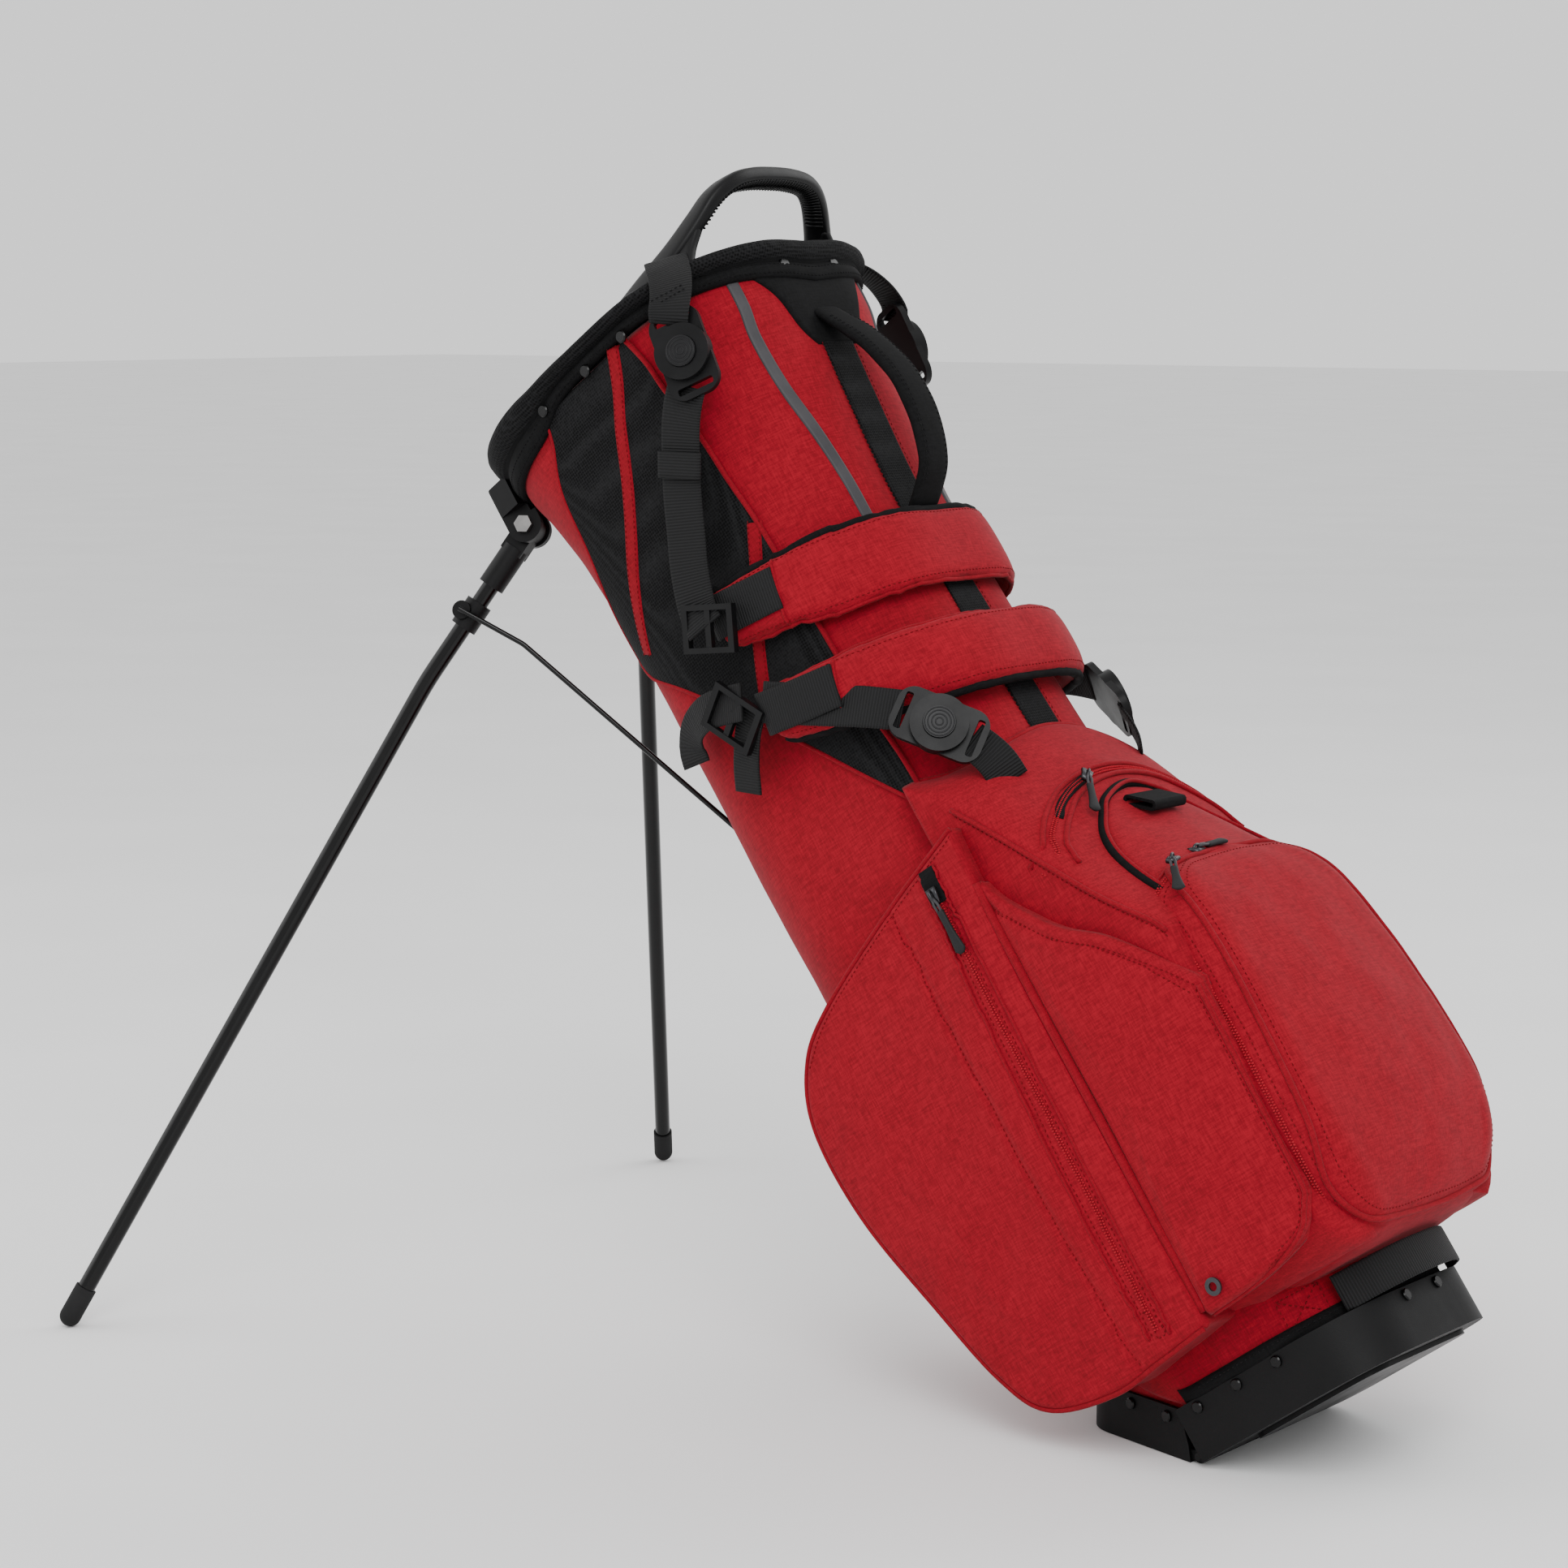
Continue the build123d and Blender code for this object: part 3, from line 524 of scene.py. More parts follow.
def skin_normal(point):
    """The outward direction of the body near a point."""
    front, back, half, radius = body_section(point.z)
    flat = half - radius
    dx = point.x - max(front + radius, min(back - radius, point.x))
    dy = point.y - max(-flat, min(flat, point.y))
    return Vector((dx, dy, 0)).normalized()


def ripple(point, size, amount):
    """Soft unevenness of sewn cloth."""
    return amount * noise(Vector(point) / size)


# ---------------------------------------------------------------- panels sewn on the skin
def skin_panel(name, first, second, thick, material, side=NEAR, across=24, along=60, edge=3.0, uneven=0.0):
    """A cloth panel ruled between two (w, z) lines, standing thick proud of the skin with turned edges."""
    verts = []
    first_line = flat_line(first, 3.0)
    second_line = flat_line(second, 3.0)
    tall = path_length(first_line)
    # the turned edges reach a little into the skin
    sunk = 0.8
    for i in range(along + 1):
        v = i / along
        a = polyline_at(first_line, v)
        b = polyline_at(second_line, v)
        width = max((b - a).length, 1e-6)
        for j in range(across + 1):
            # finer columns beside the edges
            u = 0.5 - 0.5 * cos(pi * j / across)
            p = a.lerp(b, u)
            rim = min(u * width, (1 - u) * width, v * tall, (1 - v) * tall)
            raise_by = sqrt(max(0.0, 1 - (1 - min(1.0, rim / edge)) ** 2))
            point, normal = skin(side * p.x, p.y, (thick + sunk) * raise_by - sunk)
            if uneven:
                point += normal * ripple(point, 30, uneven) * min(1.0, rim / 20)
            verts.append(point)
    return outward(piece(name, verts, grid_faces(along + 1, across + 1), material))


def ribbon(name, line, half, *values):
    """A panel that reaches half its width to each side of a (w, z) line."""
    return skin_panel(name, offset_line(line, -half), offset_line(line, half), *values)


def skin_piping(name, points, radius, side, off):
    return piece(name, *tube_shape(skin_path(points, off, side), radius), RED_TRIM)


def skin_stitches(name, lines, side=NEAR, off=0.9, material=RED_THREAD):
    shapes = [stitch_shape(skin_path(points, off, side), skin_normal) for points in lines]
    return piece(name, *join_shapes(shapes), material)


# ---------------------------------------------------------------- body
# heights of the tube's rim and of its lower edge at the back; how high that edge is above the ground in
# front, once leaned; and how thick the tube is
MOUTH = 868
FOOT_OF_BODY = 22
FRONT_CLEARANCE = 37.0
WALL = 4.2


def crease(point):
    """Folds of the cloth where the body is tied down to its base and pulled by its pockets."""
    low = max(0.0, 1 - abs(point.z - 45) / 45)
    fold = sin(point.x * 0.09 + point.y * 0.06 + 2.2 * noise(point / 40)) * 1.6 * low
    return fold + ripple(point, 70, 1.1) + ripple(point, 24, 0.35)


def foot_of_body(share):
    """Height of the tube's lower edge at a share of its half girth: it rises in front to clear the pedal."""
    z = FOOT_OF_BODY
    for _ in range(12):
        point = skin(half_girth(z) * share, z)[0]
        z = max(FOOT_OF_BODY, (FRONT_CLEARANCE - sin(LEAN) * point.x) / cos(LEAN))
    return z


def body_skin():
    """The sewn tube: outside, rim and black-lined inside, in one closed shell."""
    columns = 220
    verts = []
    shares = [k / 170 for k in range(171)]
    turns = [2 * j / columns - 1 for j in range(columns)]
    feet = [foot_of_body(turn) for turn in turns]
    for share in shares:
        for turn, foot in zip(turns, feet):
            z = foot + (MOUTH - foot) * share
            point, normal = skin(half_girth(z) * turn, z)
            verts.append(point + normal * (crease(point) * 0.6 - 0.6))
    for share in reversed(shares[::4]):
        for turn, foot in zip(turns, feet):
            z = foot + (MOUTH - foot) * share
            verts.append(skin(half_girth(z) * turn, z, -WALL)[0])
    obj = piece("body_cloth", verts, grid_faces(len(verts) // columns, columns, True, True), RED)
    obj.data.materials.append(LINING)
    for index, face in enumerate(obj.data.polygons):
        face.material_index = int(index // columns >= len(shares))
    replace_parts(obj, "body_shell")
    return outward(obj)


# the black mesh side panel and its neighbours, as (w, z) lines
MESH_BACK = ((162, 868), (139, 790), (130, 741), (122, 693), (119, 620), (119, 557), (116, 505), (117, 462))
MESH_FRONT = ((257, 868), (262, 845), (273, 812), (279, 765), (298, 715), (303, 690))
MESH_LOW = ((303, 690), (285, 672), (245, 640), (195, 578), (154, 519), (117, 462))
STRIP_A = ((174, 870), (196, 820), (213, 779), (243, 725), (268, 681))
STRIP_B = ((125, 705), (138, 678), (152, 657), (170, 628), (196, 580))
STRIPE = ((74, 868), (74, 845), (73, 820), (67, 780), (57, 738), (51, 700), (50, 665))


def offset_line(points, amount):
    """A (w, z) line moved sideways."""
    moved = []
    for i, p in enumerate(points):
        a = Vector(points[max(0, i - 1)])
        b = Vector(points[min(len(points) - 1, i + 1)])
        along = (b - a).normalized()
        moved.append((p[0] - along.y * amount, p[1] + along.x * amount))
    return moved


def side_panels(side, word):
    # the panel is ruled from its back edge to the line made of its front and lower edges
    skin_panel("mesh_panel_" + word, MESH_BACK, MESH_FRONT + MESH_LOW[1:], 1.6, MESH, side, 60, 150, 2.5, 0.5)
    lines = []
    for label, strip, half, along in (("front", STRIP_A, 6.3, 80), ("back", STRIP_B, 6, 60)):
        ribbon("red_strip_%s_%s" % (label, word), strip, half, 2.6, RED_TRIM, side, 10, along, 1.6)
        lines += [offset_line(strip, -4.2), offset_line(strip, 4.2)]
    skin_stitches("strip_stitches_" + word, lines, side, 2.8)
    for label, line, radius, off in (("back_panel_piping_", offset_line(MESH_BACK, 0.5), 1.9, 1.6),
                                     ("back_panel_welt_", offset_line(MESH_BACK, 7.5), 1.2, 0.2),
                                     ("lower_mesh_piping_", MESH_LOW, 1.5, 1.2),
                                     ("front_mesh_piping_", MESH_FRONT, 1.3, 1.0)):
        skin_piping(label + word, line, radius, side, off)
    ribbon("reflective_stripe_" + word, STRIPE, 4.6, 0.7, REFLECTIVE, side, 8, 60, 0.8)


def back_panels():
    """The black patch under the rim and the black stripe down the spine."""
    patch = ((62, 866), (48, 848), (33, 818), (22, 806))
    skin_panel("spine_patch", patch, [(-w, z) for w, z in patch], 1.8, BLACK, NEAR, 30, 30, 2.5)
    middle = ((0, 812), (0, 488))
    ribbon("spine_stripe", middle, -17, 1.3, MESH, NEAR, 14, 90, 2.0)
    skin_stitches("spine_stitches", [offset_line(middle, 18.6), offset_line(middle, -18.6)], NEAR, 0.7)


def pedal_gusset():
    """The cloth that joins the tube's raised front edge to the inside of the pedal's rim."""
    top = []
    count = 120
    for j in range(count + 1):
        # from one flank to the other by way of the front, where the share passes from 1 to -1
        share = 0.38 + 1.24 * j / count
        share = share - 2 if share > 1 else share
        z = foot_of_body(share)
        top.append(LEANED @ (skin(half_girth(z) * share, z + 3, -1.6)[0] * MM) / MM)
    plan = smooth_line(mirrored([(46, -79, 0), (20, -72, 0), (-6, -65, 0), (-30, -58.5, 0), (-41, -53, 0),
                                 (-45, -44, 0), (-45, 0, 0)]), 2)
    low = resampled(plan, path_length(plan) / count)
    if top[0].y > 0:
        top.reverse()
    rows = 9
    verts = []
    for k in range(rows):
        t = k / (rows - 1)
        for a, b in zip(top, low):
            foot = Vector((b.x, b.y, 25.0))
            middle = Vector((b.x, b.y, 36.0)).lerp(a, 0.35)
            # tucked in behind the push rod
            tuck = 24 * exp(-(b.y / 20) ** 2) * (1 - (1 - t) ** 4) if b.x < -20 else 0.0
            verts.append(a * (1 - t) ** 2 + middle * (2 * t * (1 - t)) + foot * t * t + Vector((tuck, 0, 0)))
    obj = mesh_object("pedal_gusset", verts, grid_faces(rows, count + 1), RED)
    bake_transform(obj)


body_skin()
pedal_gusset()
for side, word in SIDES:
    side_panels(side, word)
back_panels()


# ---------------------------------------------------------------- details laid on finished cloth
def surface_of(obj):
    """A search tree of a piece's mesh, in the upright frame's millimetres."""
    mesh = obj.data
    return BVHTree.FromPolygons([v.co / MM for v in mesh.vertices], [p.vertices[:] for p in mesh.polygons])


def cling(tree, points, off=0.0, step=3.0, closed=False):
    """A smooth line through points near a surface, moved onto it: its path, and its normals by index."""
    path = []
    normals = []
    for p in smooth_line(points, step, closed):
        hit, normal, _, _ = tree.find_nearest(p)
        path.append(hit + normal * off)
        normals.append(normal)
    return path, lambda i: normals[i]


def piping_on(name, tree, points, radius, off=0.6, material=RED_TRIM, closed=False):
    return piece(name, *tube_shape(cling(tree, points, off, 3.0, closed)[0], radius, 8, closed), material)


def stitches_on(name, tree, lines, material=RED_THREAD, off=0.25, length=2.6, radius=0.42, slot=None):
    def normal_at(point):
        return tree.find_nearest(point)[1]

    paths = [cling(tree, points, off)[0] for points in lines]
    shapes = [stitch_shape(path, normal_at, length, length / 2, radius) for path in paths]
    return piece(name, *join_shapes(shapes), material, slot=slot)


def coil_on(name, tree, points):
    """Zipper teeth: two rows of small lozenges, half a step apart."""
    stations = frames_along(*cling(tree, points, 0.5))
    shapes = []
    for aside in (-1.1, 1.1):
        row = [point + side * aside for point, _, side in stations]
        shapes.append(stitch_shape(row, lambda point: tree.find_nearest(point)[1], 1.5, 0.5, 1.0))
    return piece(name, *join_shapes(shapes), RED_ZIP)


def tape_on(name, tree, points, width, material, thick, off):
    """A flat band laid on a surface."""
    return strip_piece(name, *cling(tree, points, off), width, thick, material)


def line_distance(points, u, v):
    """Distance in a plane from (u, v) to a polyline."""
    best = 1e9
    for (a, b), (c, d) in zip(points, points[1:]):
        dx = c - a
        dy = d - b
        t = max(0.0, min(1.0, ((u - a) * dx + (v - b) * dy) / max(dx * dx + dy * dy, 1e-9)))
        best = min(best, hypot(u - a - t * dx, v - b - t * dy))
    return best


def dip(lines, u, v, depth=1.5, wide=2.6):
    """How far a seam pulls the cloth down at (u, v)."""
    near = min(line_distance(line, u, v) for line in lines)
    return depth * exp(-(near / wide) ** 2)


# ---------------------------------------------------------------- side pockets
def skin_side(x, z):
    """Half the body's width at a place along its depth."""
    front, back, half, radius = body_section(z)
    beyond = max(front + radius - x, x - back + radius, 0.0)
    return half - radius + sqrt(radius ** 2 - beyond ** 2) if beyond < radius else 0.0


def outline_pocket(name, outline, face, root, side, seams, columns=250, rings=56, roll=4.0):
    """A pocket seen from the side: its face fills an outline in (x, z), and its gusset runs in to root(x, z).

    face(x, z, d) is the face's distance from the middle plane, d being the distance to the rim.
    """
    closed = outline + outline[:1]
    ring = resampled(closed, path_length(closed) / columns)[:-1]
    centre = sum(ring, Vector((0, 0))) / len(ring)
    count = len(ring)
    verts = []
    for k in range(1, rings + 1):
        for p in ring:
            q = centre.lerp(p, k / rings)
            rim = (p - q).length
            y = face(q.x, q.y, rim) - dip(seams, q.x, q.y) * min(1.0, rim / 3)
            if rim < roll:
                y -= roll - sqrt(roll ** 2 - (roll - rim) ** 2)
            verts.append((q.x, -side * y, q.y))
    rim_rows = verts[-count:]
    for k in range(1, 9):
        t = k / 8
        for p, edge in zip(ring, rim_rows):
            deep = min(root(p.x, p.y), abs(edge[1]) - 1)
            y = abs(edge[1]) * (1 - t) + deep * t
            q = p.lerp(centre, 0.012 * sin(pi * t))
            verts.append((q.x, -side * y, q.y))
    for share in (0.8, 0.5, 0.2):
        for p in ring:
            q = centre.lerp(p, share)
            verts.append((q.x, -side * min(root(p.x, p.y), root(q.x, q.y)), q.y))
    return outward(piece(name, verts, tube_faces(len(verts) // count, count), RED))


# a plane just outside the flank pockets, from which lines are dropped onto their faces
FLANK_FACE = 134


def in_plane(points, y, side):
    return [(x, -side * y, z) for x, z in points]


def outline_of(*lines):
    """An outline in (x, z) from smooth lines, end to end."""
    return [p.xy for line in lines for p in flat_line(line)]


# the flank pockets' edges, seams and zippers, as (x, z) lines
APPAREL_EDGE = ((94, 437), (12, 415), (-67, 388), (-106, 364), (-127, 322), (-125, 253), (-104, 175),
                (-83, 110), (-58, 76), (-4, 63), (40, 66), (84, 70))
APPAREL_SEAM = ((18, 412), (20, 318), (22, 231), (24, 164), (25, 70))
ZIP_FRONT = ((54.5, 421), (49.5, 300), (46, 200), (44, 82))
ZIP_BACK = ((69.5, 422), (66, 300), (63.5, 200), (62, 78))
ZIP_MIDDLE = ((61.8, 404), (58.8, 300), (56.3, 200), (53.5, 84))


def apparel_face(x, z, rim):
    """Fuller low down, where clothes sit, and drawn in a little along the top."""
    full = 7.0 * exp(-((z - 210) / 130) ** 2) * min(1.0, rim / 60) ** 0.7
    rough = ripple((x, z, 3), 60, 2.0) + ripple((x, z, 9), 22, 0.5)
    sunk = 1.8 * max(0.0, 1 - line_distance(ZIP_MIDDLE, x, z) / 8.5) ** 0.5
    face = 127.5 + full + rough * min(1.0, rim / 25)
    # the zipper's tape keeps its own line straight
    held = exp(-(line_distance(ZIP_MIDDLE, x, z) / 15) ** 2) * min(1.0, rim / 14)
    return face + (131.6 - face) * held - sunk


def apparel_pocket(side, word):
    """The long pocket on each flank, with its zipper under two welts."""
    outline = outline_of(APPAREL_EDGE, ((86.5, 71), (87, 200), (87.5, 335), (93, 434)))
    seams = (APPAREL_SEAM, ZIP_FRONT, ZIP_BACK)
    cloth = outline_pocket("apparel_cloth_" + word, outline, apparel_face,
                           lambda x, z: max(70.0, skin_side(x, z) - 4), side, seams)
    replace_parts(cloth, "apparel_pocket_" + word)
    tree = surface_of(cloth)
    piping_on("apparel_piping_" + word, tree, in_plane(APPAREL_EDGE, 126, side), 1.9, 0.9)
    for label, line in (("front", ZIP_FRONT), ("back", ZIP_BACK)):
        piping_on("apparel_zip_welt_%s_%s" % (label, word), tree, in_plane(line, FLANK_FACE, side), 1.3, 0.1)
    box = ((50, 100), (54, 90), (50, 80), (60, 80), (58, 92), (50, 100))
    rows = [in_plane(line, FLANK_FACE, side)
            for line in (APPAREL_SEAM, offset_line(ZIP_FRONT, 3.2), offset_line(ZIP_BACK, -3.2), box)]
    rows.append(in_plane([(x, z - 5) for x, z in APPAREL_EDGE[:4]], 130, side))
    stitches_on("apparel_stitches_" + word, tree, rows)
    coil_on("apparel_coil_" + word, tree, in_plane(ZIP_MIDDLE, FLANK_FACE, side))
    garage = in_plane(((62.2, 424), (61.6, 398)), FLANK_FACE, side)
    tape_on("apparel_zip_garage_" + word, tree, garage, 13.5, BLACK, 1.2, 0.6)


SLIP_TOP = ((202, 262), (190, 279), (177, 296), (155, 321), (130, 341), (108, 368), (97, 385), (92, 398))
SLIP_LOW = ((90, 76), (133, 79), (176, 89), (191, 104), (197, 125), (199, 200), (201, 258))


def slip_face(x, z, rim):
    gape = 3.0 * exp(-(line_distance(SLIP_TOP, x, z) / 22) ** 2) * min(1.0, max(0.0, (x - 92) / 30))
    rough = ripple((x, z, 30), 55, 2.2) + ripple((x, z, 41), 20, 0.5)
    fall = 13.0 * max(0.0, min(1.0, (x - 118) / 84)) ** 1.8
    return 124.5 - fall + gape + (rough + 2.5) * min(1.0, rim / 30)


def slip_pocket(side, word):
    """The open-topped pocket behind each apparel pocket, with a hemmed edge."""
    outline = outline_of(SLIP_LOW, SLIP_TOP, ((91.5, 392), (91, 240), (90.5, 82)))
    hem = offset_line(SLIP_TOP, 8.5)
    cloth = outline_pocket("slip_cloth_" + word, outline, slip_face, lambda x, z: 104.0, side, [hem], 220, 44)
    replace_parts(cloth, "slip_pocket_" + word)
    tree = surface_of(cloth)
    piping_on("slip_piping_" + word, tree, in_plane(SLIP_LOW, 118, side), 1.7, 0.8)
    stitches_on("slip_stitches_" + word, tree,
                [in_plane(hem, 122, side), in_plane(offset_line(SLIP_TOP, 6.6), 122, side),
                 in_plane(offset_line(SLIP_LOW, 5.0), 118, side)])
    seam = ((90, 124, 396), (89, 124.5, 320), (88.8, 124.5, 240), (88.6, 124, 160), (88, 122, 80))
    piece("seam_piping_" + word, *tube_shape(smooth_line(turned_to(side, seam)), 3.4, 10), RED_TRIM)


# ---------------------------------------------------------------- back of the bag
# half width of the hump between its side walls
WALL_HALF = 113.0
# where the side walls end and the roof starts, and the roof's ridge, both by distance to the back
HUMP_RISE = ((60, 489, 489), (96, 446, 489), (113, 421, 489), (120, 410, 488), (126, 401, 480),
             (132, 392, 468), (140, 379, 451), (147, 368, 438), (155, 356, 403), (170, 336, 376),
             (185, 317, 352), (205, 291, 322))


def hump_top(x, y):
    """Height of the pockets' shared roof."""
    low, ridge = smooth_rows(HUMP_RISE, x)
    power = 2.0 - 0.5 * max(0.0, min(1.0, (x - 112) / 28))
    share = min(1.0, abs(y) / WALL_HALF)
    return low + (ridge - low) * (1 - share ** power) ** (1 / power)


def hump():
    """The cloth hump behind the body: side walls, and the roof that the valuables pocket is sewn into."""
    stations = 52
    wall = 44
    roof = 96
    foot = 69
    verts = []
    for i in range(stations + 1):
        x = 66 + 132 * i / stations
        half = WALL_HALF - 10 * max(0.0, (x - 186) / 12) ** 2
        tall = smooth_rows(HUMP_RISE, x)[0] - foot
        section = [(50, 76), (70, 70)]
        for k in range(wall):
            up = tall * k / wall
            # the wall's foot draws in by 30
            section.append((half - 30 * exp(-up / 15), foot + up))
        points = [(x, -y, z) for y, z in section]
        for k in range(roof + 1):
            y = -half * cos(pi * k / roof)
            points.append((x, y, hump_top(x, y * WALL_HALF / half)))
        points += [(x, y, z) for y, z in reversed(section)]
        for p in points:
            rough = ripple(p, 50, 2.2) + ripple(p, 18, 0.6)
            verts.append((p[0], p[1] + copysign(rough, p[1]) * 0.7, p[2] + rough * 0.6))
    faces = tube_faces(stations + 1, len(verts) // (stations + 1))
    cloth = outward(piece("valuables_cloth", verts, faces, RED))
    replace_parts(cloth, "valuables_pocket")
    return cloth


def arch_on_skin(y):
    """Where the hump meets the body at a distance across it."""
    z = 470.0
    for _ in range(8):
        _, back, half, radius = body_section(z)
        across = max(0.0, abs(y) - half + radius)
        x = back - radius + sqrt(max(0.0, radius ** 2 - across ** 2))
        z = hump_top(x, y)
    return Vector((x, y, z))


def hump_details(cloth):
    tree = surface_of(cloth)
    arch = [arch_on_skin(y) for y in range(-96, 97, 8)]
    piece("pocket_arch_piping", *tube_shape(smooth_line(arch), 2.0), RED_TRIM)
    for side, word in SIDES:
        seam = [(x, -side * WALL_HALF, smooth_rows(HUMP_RISE, x)[0])
                for x in (93, 110, 125, 140, 155, 170, 185, 198)]
        piping_on("roof_piping_" + word, tree, seam, 1.7, 0.5)
        stitches_on("roof_stitches_" + word, tree, [[(x, y, z - 5) for x, y, z in seam]])
    outer = [(128, -99, 385), (134, -92, 405), (142, -68, 428), (146, -40, 439), (146, -5, 441),
             (145, 40, 437), (140, 74, 420), (134, 92, 400), (128, 99, 385)]
    inner = [(141, -96, 366), (142, -90, 390), (147, -62, 416), (149, -34, 428), (149, 0, 432),
             (149, 36, 428), (147, 62, 416), (142, 90, 390), (141, 96, 366)]
    piping_on("valuables_piping_outer", tree, outer, 1.9)
    piping_on("valuables_piping_inner", tree, inner, 1.9, 0.8)
    middle = [(Vector(a) + Vector(b)) / 2 for a, b in zip(outer, inner)]
    opening = [middle[1].lerp(middle[2], 0.4), middle[2], middle[3], middle[3].lerp(middle[4], 0.25)]
    tape_on("valuables_zip_tape", tree, opening, 6.5, BLACK, 0.8, 0.3)
    coil_on("valuables_coil", tree, middle)


# the small pocket's half width by distance to the back
SMALL_HALF = ((151, 22), (152, 34), (155, 54), (161, 67), (170, 76), (185, 82), (202, 84))


def small_pocket():
    """The rounded pocket above the ball pocket, edged in black."""
    across = 60
    stations = 34
    verts = []
    for i in range(stations + 1):
        x = 151 + 50 * (i / stations) ** 1.5
        half = smooth_rows(SMALL_HALF, x)[0]
        front = sqrt(max(0.0, 1 - (1 - min(1.0, (x - 151) / 9)) ** 2))
        for k in range(across + 1):
            y = -half * cos(pi * k / across)
            side_round = sqrt(max(0.0, 1 - (abs(y) / half) ** 5))
            point = Vector((x, y, hump_top(x, y)))
            rough = ripple(point, 34, 2.0) * side_round
            verts.append(point + Vector((0.35, 0, 0.94)) * (-1.5 + (9.5 + rough) * front * side_round))
    cloth = outward(piece("small_cloth", verts, grid_faces(stations + 1, across + 1), RED))
    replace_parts(cloth, "small_pocket")
    edge = []
    for x in (200, 185, 173, 164, 157, 153.5, 151.6):
        half = smooth_rows(SMALL_HALF, x)[0] + 1
        edge.append((x - 1, -half, hump_top(x, half) + 2.6))
    edge.append((151, 0, hump_top(151, 0) + 2.6))
    path = smooth_line(mirrored(edge), 3)
    piece("small_binding", *tube_shape(path, 3.3, 10), BLACK)
    piece("small_binding_welt", *tube_shape([p + Vector((3.4, 0, 0)) for p in path], 1.5), RED_TRIM)


# the ball pocket from its foot to its roof: height, depth, half width
BALL = ((66, 150, 62), (67, 172, 70), (72, 194, 79), (84, 209, 89), (111, 221, 105), (152, 226, 112),
        (226, 225, 107), (270, 221, 103), (303, 216, 99), (325, 209, 92), (338, 202, 80), (345, 195, 63),
        (349, 184, 44), (350, 160, 20))
BALL_CORNER = 27.0


def ball_point(y, depth, half):
    """How far back the ball pocket reaches: a flat back with rounded corners."""
    corner = min(BALL_CORNER, half * 0.8)
    beyond = max(0.0, abs(y) - half + corner)
    return depth - corner + sqrt(max(0.0, corner ** 2 - beyond ** 2))


# half of the edge of the ball pocket's face: half width, height
FACE_EDGE = ((0, 76), (58, 77), (84, 86), (103, 111), (106, 152), (99.5, 226), (94, 270), (90, 303),
             (84, 325), (70, 339), (50, 344), (0, 346))


def ball_pocket():
    rows = smooth_line(BALL)
    verts = []
    for z, depth, half in rows:
        corner = min(BALL_CORNER, half * 0.8)
        flat = half - corner
        plan = [(100 + (depth - corner - 100) * k / 24, -half, z) for k in range(24)]
        for k in range(10):
            angle = k * pi / 20
            plan.append((depth - corner + corner * sin(angle), -flat - corner * cos(angle), z))
        plan += [(depth, flat * (k / 24 - 1), z) for k in range(25)]
        for x, y, _ in mirrored(plan):
            inside = max(0.0, 1 - (abs(y) / max(flat, 1)) ** 2) if x > depth - 0.5 else 0.0
            full = 7.0 * inside * exp(-((z - 200) / 90) ** 2)
            rough = ripple((x, y, z + 500), 45, 2.0) * (0.4 + 0.6 * inside) + ripple((x, y, z), 16, 0.5)
            back = (full + rough) * (1.0 if inside > 0 else 0.3)
            verts.append((x + back, y + copysign(rough, y) * (1 - inside) * 0.8, z))
    faces = tube_faces(len(rows), len(verts) // len(rows), wrap=False)
    cloth = outward(piece("ball_cloth", verts, faces, RED))
    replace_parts(cloth, "ball_pocket")
    tree = surface_of(cloth)

    def row_at(z):
        return min(rows, key=lambda row: abs(row.x - z))

    def loop(grow):
        """The edge of the pocket's face, moved outwards."""
        found = []
        for y, z in FACE_EDGE:
            y *= 1 + grow / 100
            z += grow * (z - 210) / 140
            found.append((ball_point(y, row_at(z).y, row_at(z).z), y, z))
        return mirrored(found)

    piping_on("ball_face_piping", tree, loop(0)[:-1], 2.1, 0.9, closed=True)
    stitches_on("ball_face_stitches", tree, [loop(-5)])
    flank = [(row_at(z).y - 24, -row_at(z).z, z) for z in (80, 96, 111, 152, 190, 226, 270, 303, 322)]
    track = mirrored(flank + [(196, -74, 338), (191, -52, 345), (188, -25, 348), (188, 0, 349)])
    coil_on("ball_coil", tree, track)
    ahead, behind, seam = [[(x + shift, y, z) for x, y, z in track] for shift in (-7, 7, -10)]
    piping_on("ball_zip_welt_front", tree, ahead, 1.3, 0.2)
    stitches_on("ball_zip_stitches", tree, [behind, seam])


for side, word in SIDES:
    apparel_pocket(side, word)
    slip_pocket(side, word)
hump_details(hump())
small_pocket()
ball_pocket()


# ---------------------------------------------------------------- rim
# height of the collar's lower edge by distance round the body
COLLAR_LOW = ((0, 854), (40, 858), (76, 863), (141, 869), (211, 869), (240, 865), (266, 853), (300, 848),
              (340, 846))


